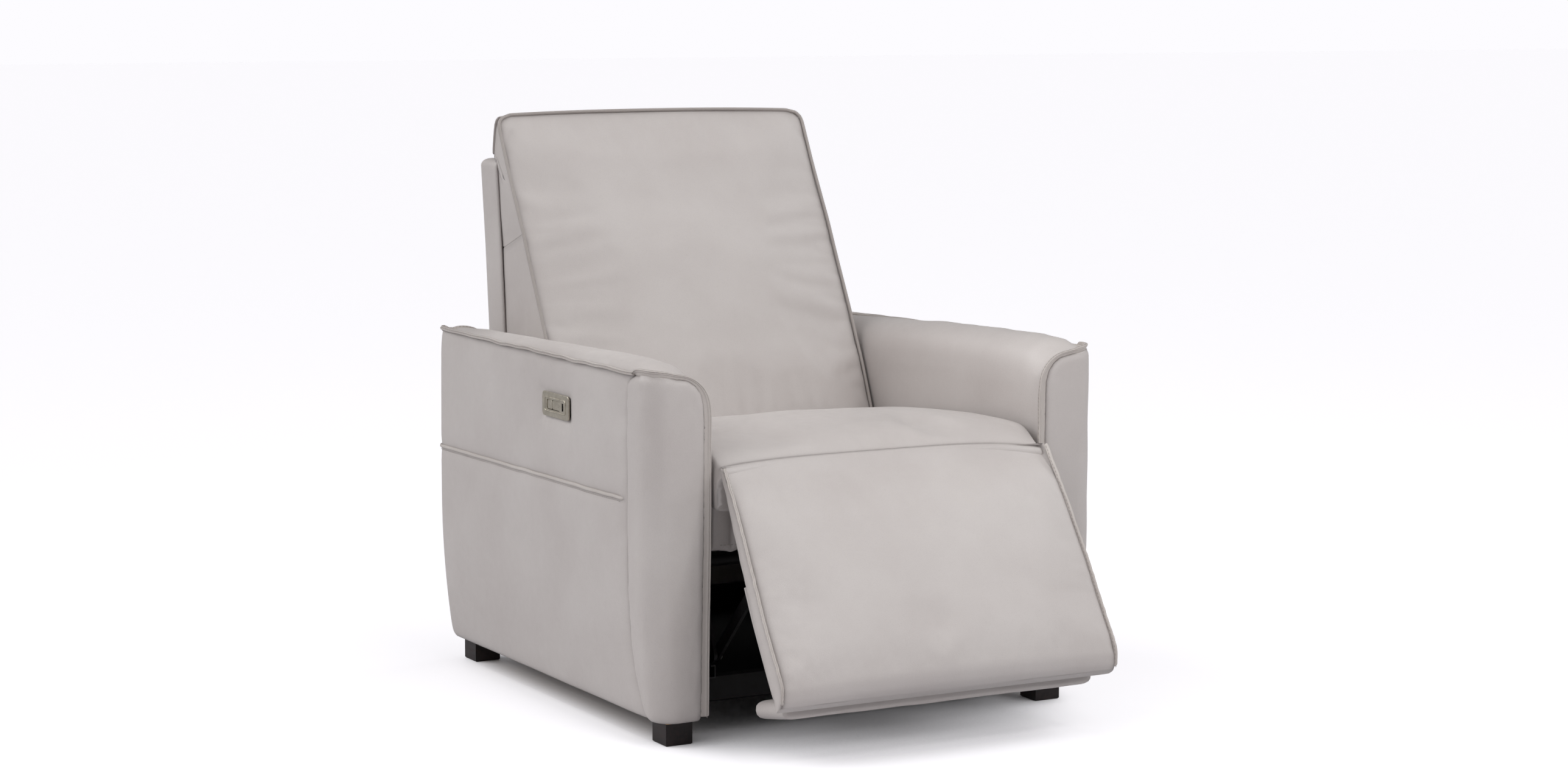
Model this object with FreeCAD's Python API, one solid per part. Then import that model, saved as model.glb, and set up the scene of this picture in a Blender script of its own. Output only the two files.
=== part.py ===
import FreeCAD, Part
import math
import os

os.makedirs("parts", exist_ok=True)

# A power recliner, standing as it is seen with the footrest part way out.
# Lengths are millimetres. +X is to the viewer's right, -Y is the front, +Z is up.
# The origin is on the floor under the middle of the whole outline.
# "Right" and "left" in the names are the sitter's own, so the right arm is on -X.

# Stance
front_reach = 333.0          # origin to the front plane of the arms
foot_height = 40.0
foot_side = 49.0
foot_inset = 42.0            # arm side to the outer face of a foot
foot_end_inset = 27.0        # arm end to the near face of a foot
foot_chamfer = 2.0
stud_radius = 4.0
stud_in_foot = 24.0
stud_in_rail = 26.0
stud_clearance = 0.1

# Arms
arm_side = 430.0             # centre plane to the outer face
arm_width = 105.0            # outer face to inner face at the top
arm_width_low = 93.0         # the same at the bottom edge
arm_depth = 857.0
arm_top = 632.0              # highest line of the padded top
arm_edge_top = 617.0         # top pad where it meets the outer welt
arm_shoulder = 50.0          # radius over the inner top corner
arm_outer_padding = 38.0
arm_timber_width = 47.0
arm_top_padding = 20.0       # timber to the outer welt's top
arm_timber = 40.0            # depth of posts and rails
arm_front_padding = 17.0
arm_rear_padding = 12.0
arm_skin_low = 44.0          # lower edge of the outer covers
arm_inner_low = 63.0         # lower edge of the inner cover
arm_taper_start = 300.0      # below this height the side curves in
arm_side_draw = 25.0         # how far in the side comes at its lower edge
arm_bottom_radius = 10.0
taper_shares = (0.25, 0.5, 0.75)
arm_corner_radius = 34.0
arm_seam_back = 78.0         # front plane to the upright side seam
welt_reach = 8.0             # how far the flat welt stands proud
welt_thickness = 6.0
welt_inset = 3.0             # front welt's rear face behind the front plane

# Rails between the arms
cross_rail_depth = 25.0
cross_rail_low = 58.0
cross_rail_high = 98.0
front_rail_back = 72.0       # arm front to the front rail
rear_rail_back = 790.0
skin_clearance = 0.5
apron_thickness = 22.0
apron_high = 185.0
apron_side_gap = 6.0

# Glide: tracks on the base, runners and plates on the seat
track_arm_gap = 33.0         # arm's inner face to the track's middle
track_width = 30.0
track_height = 22.0
track_wall = 2.0
track_slot = 12.0
track_overhang = 10.0        # past the cross rails at each end
runner_clearance = 0.5
runner_stop_gap = 18.0       # runner's nose to the track's end, glided forward
runner_length = 440.0
glide_forward = 50.0
plate_thickness = 4.0
plate_front_foot = 150.0
plate_rear_foot = 550.0
plate_waist = 215.0
plate_front_top = 35.0
plate_rear_top = 625.0
plate_top = 383.0
plate_under_rail = 330.0
hole_clearance = 0.25

# Seat
seat_arm_gap = 13.0
seat_rear = 528.0
seat_rear_top = 452.0
seat_middle_top = 484.0
seat_front_top = 494.0
seat_nose_back = 85.0
seat_lip = 8.0
lip_set_back = 0.5           # seat's front face behind the knee line
seat_crown = 27.0
side_draw = 4.0
seat_rail_thickness = 20.0
seat_rail_rear = 556.0
front_panel_thickness = 25.0
front_panel_face = 10.0      # behind the arm fronts
front_panel_arm_gap = 20.0
front_panel_low = 323.0
spring_wire = 1.9
spring_count = 5
spring_edge_gap = 58.0       # side frame to the outermost spring's middle
spring_sweep = 22.0          # half the width of a zigzag
spring_turns = 10
spring_hold = 10.0           # wire end lying on its rail
soft_gap = 0.4               # soft pieces stay this far from what moves past them

# Footrest and knee
knee_forward = 18.0          # knee line ahead of the arm fronts
knee_height = 462.0
footrest_lean = 35.6         # degrees out from upright, as it stands
footrest_closed = 35.6       # degrees from here to closed
footrest_open = 54.4         # degrees from here to level
pad_length = 407.0
pad_arm_gap_top = 14.0
pad_arm_gap_low = 7.0
pad_thickness = 22.0
pad_crown = 22.0
pad_edge = 4.0
knee_gap = 1.0
board_bracket_gap = 18.0     # link bracket to the board's upper edge
board_end_gap = 7.0          # pad's end to the board's
board_thickness = 23.0
board_side_gap = 18.0        # pad's lower edge to the board's end
flap_axis_gap = 12.0         # pad's end to the flap's axis
flap_length = 105.0
flap_thickness = 24.0
flap_side_gap = 10.0         # board's end to the flap's end
flap_end_gap = 1.0           # unfolded flap to the pad's end
flap_gap = 0.5               # folded flap to the board
leaf_thickness = 1.5
leaf_reach = 40.0
leaf_width = 60.0
leaf_board_gap = 120.0       # board's end to a leaf's middle
barrel_radius = 3.0
barrel_gap = 0.3

# Footrest linkage
pin_along = 160.0            # link pin from the knee, down the pad
pin_behind = 35.0            # and behind its front plane
crank_back = 178.0           # crank shaft from the knee
crank_drop = 182.0
shaft_radius = 12.0
shaft_end_gap = 4.0          # shaft end past the side plate
arm_plate_gap = 30.0         # track's middle to the crank arms
arm_plate_thickness = 6.0
arm_plate_half_height = 12.0
link_gap = 2.0
link_half_height = 10.0
pin_radius = 5.0
pin_clearance = 0.3
bracket_half_height = 22.0

# Linear drives
rod_radius = 9.0
tube_radius = 15.0
rod_clearance = 0.5
drive_arm = 40.0             # crank radius that the footrest drive pushes
drive_ratio = 0.92           # travel over radius and angle, best straight fit
recline_arm = 80.0
recline_ratio = 0.983
yoke_slack = 1.6             # along the rod, each side of the pin
recline_slack = 0.9
yoke_wall = 8.0
yoke_width = 18.0
yoke_rise_gap = 1.2
clevis_gap = 2.0
clevis_thickness = 6.0
tube_gap = 4.0               # yoke to tube when the rod is fully in
rod_engaged = 45.0
gearbox_length = 62.0
gearbox_height = 66.0
gearbox_width = 56.0
motor_radius = 22.0
motor_length = 90.0
drive_lug = 12.0
drive_tube_back = 505.0      # arm front to the cross tube that holds the drives
drive_tube_side = 25.0
drive_tube_wall = 2.5
drive_tube_height = 246.0
recline_drive_place = 120.0  # recline drive beside the footrest drive

# Back
back_hinge_back = 600.0      # hinge from the arm front
back_hinge_height = 360.0
back_hinge_radius = 6.0
recline_upright = 6.0        # degrees
recline_flat = 36.0
back_arm_gap = 7.0
back_padding = 90.0
back_crown = 20.0
back_foot = (548.0, 425.0)   # front line of the back, from the arm front and the floor
back_low = (593.0, 533.0)
back_mid = (646.0, 640.0)
back_high = (698.0, 738.0)
head_split = (727.0, 795.0)   # where the headrest folds from the back
head_low = (746.0, 828.0)
head_mid = (788.0, 902.0)
head_high = (821.0, 966.0)
head_crest = (838.0, 990.0)
head_padding = 62.0
head_high_padding = 46.0
head_crest_padding = 32.0
head_crown = 14.0
head_crest_narrowing = 16.0
head_tilt = 30.0             # degrees
head_split_gap = 1.0
head_board_thickness = 10.0
head_board_inset = 18.0
frame_side_gap = 24.0        # track's middle to the back's side frames
frame_side_thickness = 18.0
back_panel_thickness = 14.0
back_panel_low = (885.0, 300.0)
back_panel_mid = (888.0, 610.0)
back_panel_high = (902.0, 764.0)
back_panel_top = (920.0, 914.0)
back_cap_height = 926.0
back_cap_front = 878.0
back_side_skin = 12.0
back_rail_height = 60.0
back_rail_depth = 22.0
back_rail_drop = 10.0        # upper rail below the top of the side frames' bend
guide_radius = 130.0
guide_side_gap = 78.0        # side frame's outer face to the guides
quadrant_depth = 8.0
quadrant_thickness = 5.0
quadrant_low_degrees = -56.0 # from the level through the head axis
quadrant_high_degrees = 12.0
guide_low_degrees = -36.0
guide_high_degrees = -18.0
stem_high_degrees = -26.0
guide_wall = 4.0
guide_clearance = 0.4

# Switch in the right arm
switch_back = 352.0          # arm front to the plate's middle
switch_drop = 86.0           # outer welt's top to the plate's middle
switch_length = 104.0
switch_tall = 42.0
switch_plate = 2.5
switch_corner = 7.0
pocket_length = 51.0
pocket_tall = 17.0
pocket_offset = 8.0          # towards the rear of the plate's middle
pocket_corner = 4.0
short_button = 20.0
button_gap = 0.5
button_sink = 1.0
button_depth = 9.0
button_travel = 1.5
button_dish = 0.8
housing_length = 92.0
housing_tall = 32.0
housing_depth = 24.0
housing_clearance = 0.5
port_offset = 29.0           # towards the front of the plate's middle
port_tall = 13.2
port_wide = 5.6
port_wall = 0.5
port_depth = 14.0
port_tongue = 1.6
port_fit = 0.2

# Power
supply_length = 130.0
supply_tall = 38.0
supply_wide = 56.0
supply_place = 150.0
supply_corner = 5.0
inlet_wide = 24.0
inlet_tall = 16.0
inlet_depth = 20.0
inlet_wall = 2.0
inlet_pin = 1.2
inlet_pin_spread = 6.0
inlet_place = 150.0

overrun = 5.0                # how far a cutter runs past what it cuts

# Worked out from the sizes above
arm_front = -front_reach
arm_inside = arm_side - arm_width
arm_inside_low = arm_side - arm_width_low
arm_side_low = arm_side - arm_side_draw
arm_timber_outside = arm_side - arm_outer_padding
arm_timber_inside = arm_timber_outside - arm_timber_width
arm_timber_top = arm_edge_top - arm_top_padding
track_place = arm_inside - track_arm_gap
seat_half_width = arm_inside - seat_arm_gap
front_panel_half_width = arm_inside - front_panel_arm_gap
pad_half_width_top = arm_inside - pad_arm_gap_top
pad_half_width_low = arm_inside - pad_arm_gap_low
board_half_width = pad_half_width_low - board_side_gap
flap_half_width = board_half_width - flap_side_gap
board_start = pin_along + bracket_half_height + board_bracket_gap
board_end = pad_length - board_end_gap
flap_axis_along = pad_length - flap_axis_gap
arm_plate_place = track_place - arm_plate_gap
leaf_place = board_half_width - leaf_board_gap
back_half_width = arm_inside - back_arm_gap
frame_side_place = track_place - frame_side_gap
guide_place = frame_side_place - guide_side_gap
spring_pitch = (frame_side_place - spring_edge_gap) * 2 / (spring_count - 1)
switch_height = arm_edge_top - switch_drop
knee_y = arm_front - knee_forward
lean = math.radians(footrest_lean)
crank_y = knee_y + crank_back
crank_z = knee_height - crank_drop
hinge_y = arm_front + back_hinge_back
hinge_z = back_hinge_height
track_low = cross_rail_high
track_high = track_low + track_height
runner_top = track_high - track_wall - runner_clearance
seat_base = plate_top + spring_wire * 2 + soft_gap * 2
seat_rail_front = front_panel_face + front_panel_thickness


def at(x, y, z):
    return FreeCAD.Vector(x, y, z)


def block(x_low, x_high, y_low, y_high, z_low, z_high):
    return Part.makeBox(x_high - x_low, y_high - y_low, z_high - z_low, at(x_low, y_low, z_low))


def rod_between(start, end, radius):
    along = end.sub(start)
    return Part.makeCylinder(radius, along.Length, start, along)


def cross_rod(x_low, x_high, y, z, radius):
    return rod_between(at(x_low, y, z), at(x_high, y, z), radius)


def plate_across(outline, x_low, x_high):
    """A flat plate whose outline is given as (y, z) corners, standing across X."""
    corners = [at(x_low, y, z) for y, z in outline]
    wire = Part.makePolygon(corners + corners[:1])
    return Part.Face(wire).extrude(at(x_high - x_low, 0, 0))


def mirrored(shape):
    return shape.mirror(at(0, 0, 0), at(1, 0, 0))


def on_side(side, shape):
    """Shapes are drawn on +X, the sitter's left, and mirrored for the right."""
    return shape if side == "left" else mirrored(shape)


def rounded_plate(y_low, y_high, z_low, z_high, radius, x_low, x_high):
    body = block(x_low, x_high, y_low, y_high, z_low, z_high)
    return body.makeFillet(radius, [e for e in body.Edges if e.BoundBox.XLength > (x_high - x_low) / 2])


def arc_edge(start, middle, end):
    return Part.Arc(start, middle, end).toShape()


def line_edge(start, end):
    return Part.LineSegment(start, end).toShape()


def write(name, shape):
    shape.exportStep("parts/" + name + ".step")
    print(name, len(shape.Solids), "solids", round(shape.Volume), "mm3", shape.isValid())


# Soft forms
def pad_station(origin, outward, half_width, depth, crown, draw):
    """One cross-section of a pad: flat behind, drawn-in sides, crowned front."""
    y, z = origin
    out_y, out_z = outward

    def place(x, out):
        return at(x, y + out * out_y, z + out * out_z)

    rear_right = place(-half_width, -depth)
    rear_left = place(half_width, -depth)
    front_left = place(half_width, 0)
    front_right = place(-half_width, 0)
    waist_left = place(half_width - draw, -depth / 2)
    waist_right = place(draw - half_width, -depth / 2)
    edges = [
        line_edge(rear_right, rear_left),
        arc_edge(rear_left, waist_left, front_left),
        arc_edge(front_left, place(0, crown), front_right),
        arc_edge(front_right, waist_right, rear_right),
    ]
    return Part.Wire(edges)


def pad(stations):
    return Part.makeLoft([pad_station(*station) for station in stations], True, False)


def outward_of(before, after):
    """The direction a line through two (y, z) points faces, towards the front."""
    run = after[0] - before[0]
    rise = after[1] - before[1]
    length = math.hypot(run, rise)
    return -rise / length, run / length


# Arms
def side_at(height):
    """The arm's outer face at a height: upright above the taper, curving in below it."""
    if height >= arm_taper_start:
        return arm_side
    share = (arm_taper_start - height) / (arm_taper_start - arm_skin_low)
    return arm_side - (arm_side - arm_side_low) * share * share


def side_skin(y_low, y_high, corner_radius):
    """The arm's outer form between two planes, with its front outer corner rounded."""
    taper = arm_taper_start - arm_skin_low
    heights = [arm_skin_low, arm_skin_low + arm_bottom_radius]
    heights += [arm_skin_low + taper * share for share in taper_shares]
    heights += [arm_taper_start, arm_timber_top]
    wires = []
    for height in heights:
        tuck = arm_bottom_radius if height == arm_skin_low else 0
        outer = side_at(height) - tuck
        rear = [at(outer, y_high, height), at(arm_timber_inside, y_high, height)]
        near = at(arm_timber_inside, y_low, height)
        if corner_radius == 0:
            corners = rear + [near, at(outer, y_low, height)]
            wires.append(Part.makePolygon(corners + corners[:1]))
            continue
        turn = corner_radius * (1 - math.sqrt(1 / 2))
        bend_start = at(outer - corner_radius, y_low, height)
        bend_end = at(outer, y_low + corner_radius, height)
        bend = arc_edge(bend_start, at(outer - turn, y_low + turn, height), bend_end)
        wires.append(Part.Wire([line_edge(rear[1], near), line_edge(near, bend_start), bend,
                                line_edge(bend_end, rear[0]), line_edge(rear[0], rear[1])]))
    return Part.makeLoft(wires, True, True)


def over_arm_edges(reach):
    """The covered line over the arm, from the outer welt to the inner bottom edge."""
    shoulder_x = arm_inside + arm_shoulder
    shoulder_z = arm_top - arm_shoulder
    radius = arm_shoulder + reach
    outer = at(arm_side, 0, arm_edge_top + reach)
    crest = at(shoulder_x, 0, arm_top + reach)
    rise = (arm_top - arm_edge_top) / 4
    swell = at((outer.x + crest.x) / 2, 0, (outer.z + crest.z) / 2 + rise)
    inner = at(shoulder_x - radius, 0, shoulder_z)
    turn = math.sqrt(1 / 2) * radius
    corner = at(shoulder_x - turn, 0, shoulder_z + turn)
    foot = at(arm_inside_low - reach, 0, arm_inner_low)
    return [arc_edge(outer, swell, crest), arc_edge(crest, corner, inner), line_edge(inner, foot)]


def arm_top_pad():
    path = over_arm_edges(0)
    start = path[0].Vertexes[0].Point
    foot = at(arm_inside_low, 0, arm_inner_low)
    heel = at(arm_timber_inside, 0, arm_inner_low)
    notch = at(arm_timber_inside, 0, arm_timber_top)
    ledge = at(arm_side, 0, arm_timber_top)
    closing = [line_edge(foot, heel), line_edge(heel, notch), line_edge(notch, ledge),
               line_edge(ledge, at(arm_side, 0, arm_edge_top))]
    body = Part.Face(Part.Wire(path + closing)).extrude(at(0, arm_depth, 0))
    body.translate(at(0, arm_front, 0))
    body = body.fuse([outer_welt(), front_welt()]).removeSplitter()
    rails = [cross_rail(front_rail_back, skin_clearance), cross_rail(rear_rail_back, skin_clearance)]
    return body.cut(rails)


def outer_welt():
    high = arm_edge_top
    low = high - welt_thickness
    return block(arm_side - welt_reach, arm_side + welt_reach, arm_front, arm_front + arm_depth, low, high)


def front_welt():
    """The flat welt that runs over the arm's front edge and down its inner side."""
    inner = over_arm_edges(-welt_reach)
    outer = over_arm_edges(welt_reach)
    cap = line_edge(at(arm_side, 0, arm_edge_top + welt_reach), at(arm_side, 0, arm_edge_top - welt_reach))
    toe = line_edge(at(arm_inside_low - welt_reach, 0, arm_inner_low),
                    at(arm_inside_low + welt_reach, 0, arm_inner_low))
    ring = Part.Wire(Part.__sortEdges__(outer + inner + [cap, toe]))
    strip = Part.Face(ring).extrude(at(0, welt_thickness, 0))
    strip.translate(at(0, arm_front + welt_inset - welt_thickness, 0))
    return strip


def arm_front_pad():
    body = side_skin(arm_front, arm_front + arm_seam_back, arm_corner_radius)
    timber = block(0, arm_timber_outside, arm_front + arm_front_padding, arm_front + arm_depth,
                   0, arm_top)
    return body.cut([timber, front_welt()])


def arm_outer_panel():
    body = side_skin(arm_front + arm_seam_back, arm_front + arm_depth, 0)
    timber = block(0, arm_timber_outside, arm_front, arm_front + arm_depth - arm_rear_padding,
                   0, arm_top)
    return body.cut(timber)


def arm_timbers():
    front = arm_front + arm_front_padding
    rear = arm_front + arm_depth - arm_rear_padding
    low_rail = foot_height + arm_timber
    high_rail = arm_timber_top - arm_timber
    front_post = block(arm_timber_inside, arm_timber_outside, front, front + arm_timber,
                       low_rail, high_rail)
    rear_post = block(arm_timber_inside, arm_timber_outside, rear - arm_timber, rear,
                      low_rail, high_rail)
    bottom = block(arm_timber_inside, arm_timber_outside, front, rear, foot_height, low_rail)
    top = block(arm_timber_inside, arm_timber_outside, front, rear, high_rail, arm_timber_top)
    studs = [stud(x, y, stud_clearance) for x, y in foot_centres() if x > 0]
    return Part.makeCompound([front_post, rear_post, bottom.cut(studs), top])


# Feet
def foot_centres():
    x = arm_side - foot_inset - foot_side / 2
    front = arm_front + foot_end_inset + foot_side / 2
    rear = arm_front + arm_depth - foot_end_inset / 2 - foot_side / 2
    return [(-x, front), (x, front), (-x, rear), (x, rear)]


def stud(x, y, clearance):
    radius = stud_radius + clearance
    low = foot_height - stud_in_foot - clearance
    return rod_between(at(x, y, low), at(x, y, foot_height + stud_in_rail + clearance), radius)


def foot(x, y):
    half = foot_side / 2
    body = block(x - half, x + half, y - half, y + half, 0, foot_height)
    body = body.makeChamfer(foot_chamfer, [e for e in body.Edges if e.BoundBox.ZMax < foot_chamfer])
    return body.cut(stud(x, y, stud_clearance))


# Base rails and tracks
def cross_rail(back, clearance):
    y = arm_front + back
    return block(-arm_timber_inside, arm_timber_inside, y - clearance, y + cross_rail_depth + clearance,
                 cross_rail_low - clearance, cross_rail_high + clearance)


def rear_apron():
    y = arm_front + rear_rail_back + cross_rail_depth
    half = arm_inside - apron_side_gap
    body = block(-half, half, y, y + apron_thickness, cross_rail_low, apron_high)
    return body.cut(inlet_body(port_fit))


def track_front():
    return arm_front + front_rail_back - track_overhang


def glide_track():
    y_low = track_front()
    y_high = arm_front + rear_rail_back + cross_rail_depth - track_wall
    half = track_width / 2
    outer = block(track_place - half, track_place + half, y_low, y_high, track_low, track_high)
    inner = block(track_place - half + track_wall, track_place + half - track_wall,
                  y_low - overrun, y_high + overrun, track_low + track_wall, track_high - track_wall)
    slot = block(track_place - track_slot / 2, track_place + track_slot / 2,
                 y_low - overrun, y_high + overrun, track_high - track_wall - overrun, track_high + overrun)
    return outer.cut([inner, slot])


def glide_runner():
    half = track_width / 2 - track_wall - runner_clearance
    y = track_front() + glide_forward + runner_stop_gap
    low = track_low + track_wall + runner_clearance
    return block(track_place - half, track_place + half, y, y + runner_length, low, runner_top)


def side_plate():
    inner = track_place - plate_thickness / 2
    outline = [
        (arm_front + plate_front_foot, runner_top),
        (arm_front + plate_rear_foot, runner_top),
        (arm_front + plate_rear_foot, plate_waist),
        (arm_front + plate_rear_top, plate_under_rail),
        (arm_front + plate_rear_top, plate_top),
        (arm_front + plate_front_top, plate_top),
        (arm_front + plate_front_top, plate_under_rail),
        (arm_front + plate_front_foot, plate_waist),
    ]
    body = plate_across(outline, inner, inner + plate_thickness)
    shaft = cross_rod(0, arm_side, crank_y, crank_z, shaft_radius + hole_clearance)
    pin = cross_rod(0, arm_side, hinge_y, hinge_z, back_hinge_radius)
    return body.cut([shaft, pin])


# Seat
def seat_side_rail():
    inner = track_place + plate_thickness / 2
    return block(inner, inner + seat_rail_thickness, arm_front + seat_rail_front,
                 arm_front + seat_rail_rear, plate_under_rail, plate_top)


def seat_cross_rail(back):
    half = track_place - plate_thickness / 2
    y = arm_front + back
    return block(-half, half, y, y + seat_rail_thickness, plate_under_rail, plate_top)


def seat_cushion():
    front = (lip_set_back - knee_forward, knee_height + knee_gap + seat_lip)
    nose = (seat_nose_back / 4, (seat_front_top + front[1]) / 2 + seat_lip / 2)
    brow = (seat_nose_back, seat_front_top)
    middle = (seat_nose_back * 2 + seat_rear / 4, seat_middle_top)
    rear = (seat_rear, seat_rear_top)
    rows = [(rear, seat_crown / 2), (middle, seat_crown), (brow, seat_crown),
            (nose, seat_crown * 2 / 3), (front, seat_crown / 3)]
    stations = []
    for (back, top), crown in rows:
        place = (arm_front + back, top)
        stations.append((place, (0, 1), seat_half_width, top - seat_base, crown, side_draw))
    body = pad(stations)
    rail_face = arm_front + seat_rail_front + skin_clearance
    under_lip = block(-arm_side, arm_side, knee_y - overrun, rail_face, 0, knee_height + knee_gap)
    return body.cut(under_lip)


def seat_front_panel():
    y = arm_front + front_panel_face
    half = front_panel_half_width
    body = block(-half, half, y, y + front_panel_thickness, front_panel_low, knee_height)
    return body.makeFillet(front_panel_thickness / 4, [e for e in body.Edges if e.BoundBox.ZLength > overrun])


def sinuous_wire(length):
    """A zigzag spring wire along +Y from the origin: straight runs across, half-turn bends."""
    pitch = length / spring_turns
    edges = []
    side = 1
    for turn in range(spring_turns):
        y = turn * pitch
        far = at(side * spring_sweep, y, 0)
        edges.append(line_edge(at(-side * spring_sweep, y, 0), far))
        bulge = at(side * (spring_sweep + pitch / 2), y + pitch / 2, 0)
        edges.append(arc_edge(far, bulge, at(far.x, y + pitch, 0)))
        side = -side
    edges.append(line_edge(at(-side * spring_sweep, length, 0), at(side * spring_sweep, length, 0)))
    ring = Part.Wire(Part.Edge(Part.Circle(at(-spring_sweep, 0, 0), at(1, 0, 0), spring_wire)))
    return Part.Wire(edges).makePipeShell([ring], True, False)


def spring_row(low, high):
    """Springs side by side between two (y, z) ends."""
    rise = high[1] - low[1]
    run = high[0] - low[0]
    tilt = math.degrees(math.atan2(rise, run))
    wires = []
    for i in range(spring_count):
        wire = sinuous_wire(math.hypot(run, rise))
        wire.rotate(at(0, 0, 0), at(1, 0, 0), tilt)
        wire.translate(at(spring_pitch * (i - (spring_count - 1) / 2), low[0], low[1]))
        wires.append(wire)
    return Part.makeCompound(wires)


def seat_springs():
    height = plate_top + spring_wire + soft_gap
    front = arm_front + seat_rail_front + seat_rail_thickness - spring_hold
    rear = arm_front + seat_rail_rear - seat_rail_thickness + spring_hold
    return spring_row((front, height), (rear, height))


# Footrest, drawn in its own frame: down the pad from the knee, and behind its front plane
def on_pad(along, behind):
    y = knee_y - along * math.sin(lean) + behind * math.cos(lean)
    z = knee_height - along * math.cos(lean) - behind * math.sin(lean)
    return y, z


def pad_slab(x_low, x_high, along_low, along_high, behind_low, behind_high):
    corners = [on_pad(along_low, behind_low), on_pad(along_high, behind_low),
               on_pad(along_high, behind_high), on_pad(along_low, behind_high)]
    return plate_across(corners, x_low, x_high)


def footrest_pad():
    outward = (-math.cos(lean), math.sin(lean))
    depth = pad_thickness - pad_edge
    rows = [(knee_gap, pad_crown / 2), (pad_length / 6, pad_crown * 5 / 6), (pad_length / 2, pad_crown),
            (pad_length * 5 / 6, pad_crown * 2 / 3), (pad_length, 0)]
    stations = []
    for along, crown in rows:
        widening = (pad_half_width_low - pad_half_width_top) * along / pad_length
        origin = on_pad(along, pad_edge)
        stations.append((origin, outward, pad_half_width_top + widening, depth,
                         crown + pad_edge / 2, side_draw / 2))
    return pad(stations)


def ottoman_board():
    body = pad_slab(-board_half_width, board_half_width, board_start, board_end,
                    pad_thickness, pad_thickness + board_thickness)
    ends = [e for e in body.Edges if e.BoundBox.XLength > board_half_width and is_board_back(e)]
    return body.makeFillet(board_thickness / 4, ends)


def is_board_back(edge):
    centre = edge.CenterOfMass
    behind = (centre.y - knee_y) * math.cos(lean) - (centre.z - knee_height) * math.sin(lean)
    return behind > pad_thickness + board_thickness / 2


def flap_axis():
    return on_pad(flap_axis_along, pad_thickness + board_thickness + flap_gap)


def on_flap(along, out):
    """The flap turns three times as fast as the pad: folded up at closed, in line when open."""
    turned = math.radians(footrest_closed * 3)
    y, z = flap_axis()
    return (y + along * math.sin(turned) + out * math.cos(turned),
            z + along * math.cos(turned) - out * math.sin(turned))


def flap_slab(x_low, x_high, along_low, along_high, out_low, out_high):
    corners = [on_flap(along_low, out_low), on_flap(along_high, out_low),
               on_flap(along_high, out_high), on_flap(along_low, out_high)]
    return plate_across(corners, x_low, x_high)


def flap_pad():
    near = pad_length - flap_axis_along + flap_end_gap
    body = flap_slab(-flap_half_width, flap_half_width, near, flap_length, leaf_thickness, flap_thickness)
    return body.makeFillet(flap_thickness / 4, [e for e in body.Edges if e.BoundBox.XLength > flap_half_width])


def barrel(place, low_share, high_share, radius):
    y, z = flap_axis()
    start = place - leaf_width / 2
    return cross_rod(start + leaf_width * low_share, start + leaf_width * high_share, y, z, radius)


def barrel_relief(place):
    """The groove that the hinge barrel turns in, a little longer than the barrel."""
    spare = barrel_gap / leaf_width
    return barrel(place, -spare, 1 + spare, barrel_radius + barrel_gap)


def footrest_leaf(place):
    """The leaf let into the board, with the middle knuckle and the hinge pin."""
    back = pad_thickness + board_thickness
    half = leaf_width / 2
    leaf = pad_slab(place - half, place + half, flap_axis_along - leaf_reach, flap_axis_along,
                    back - leaf_thickness, back)
    relief = barrel_relief(place)
    knuckle = barrel(place, 1 / 3, 2 / 3, barrel_radius)
    pin = barrel(place, 0, 1, barrel_radius / 2)
    return leaf.cut(relief).fuse([knuckle, pin, leaf.common(barrel(place, 1 / 3, 2 / 3, leaf_reach / 4))])


def flap_leaf(place):
    """The leaf on the flap's back, with the two outer knuckles."""
    half = leaf_width / 2
    leaf = flap_slab(place - half, place + half, 0, leaf_reach, 0, leaf_thickness)
    middle = barrel(place, 1 / 3 - barrel_gap / leaf_width, 2 / 3 + barrel_gap / leaf_width,
                    barrel_radius + barrel_gap)
    outer = [barrel(place, 0, 1 / 3 - barrel_gap / leaf_width, barrel_radius),
             barrel(place, 2 / 3 + barrel_gap / leaf_width, 1, barrel_radius)]
    bore = barrel(place, -1, 2, barrel_radius / 2 + barrel_gap)
    return leaf.fuse(outer).cut([middle, bore])


# Footrest linkage
def link_pin():
    return on_pad(pin_along, pin_behind)


def crank_pin():
    y, z = link_pin()
    return y + crank_back, z - crank_drop


def bar(start, end, half_height, x_low, x_high):
    """A flat bar with round ends between two (y, z) points."""
    run = end[0] - start[0]
    rise = end[1] - start[1]
    length = math.hypot(run, rise)
    across_y = -rise / length * half_height
    across_z = run / length * half_height
    corners = [(start[0] + across_y, start[1] + across_z), (end[0] + across_y, end[1] + across_z),
               (end[0] - across_y, end[1] - across_z), (start[0] - across_y, start[1] - across_z)]
    middle = plate_across(corners, x_low, x_high)
    ends = [cross_rod(x_low, x_high, y, z, half_height) for y, z in (start, end)]
    return middle.fuse(ends).removeSplitter()


def linkage_pin(y, z):
    inner = arm_plate_place - link_gap * 2 - arm_plate_thickness
    return cross_rod(inner, arm_plate_place, y, z, pin_radius)


def footrest_bracket():
    y, z = link_pin()
    half = arm_plate_half_height
    corners = [on_pad(pin_along - bracket_half_height, pad_thickness),
               on_pad(pin_along + bracket_half_height, pad_thickness),
               on_pad(pin_along + half, pin_behind), on_pad(pin_along - half, pin_behind)]
    x_high = arm_plate_place + arm_plate_thickness
    plate = plate_across(corners, arm_plate_place, x_high)
    boss = cross_rod(arm_plate_place, x_high, y, z, half)
    clear = pad_slab(0, arm_side, 0, pad_length, -pad_thickness, pad_thickness)
    return plate.fuse([boss, linkage_pin(y, z)]).cut(clear).removeSplitter()


def footrest_link():
    start = crank_pin()
    end = link_pin()
    x_high = arm_plate_place - link_gap
    x_low = x_high - arm_plate_thickness
    body = bar(start, end, link_half_height, x_low, x_high)
    bores = [cross_rod(0, arm_side, y, z, pin_radius + pin_clearance) for y, z in (start, end)]
    return body.cut(bores)


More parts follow.
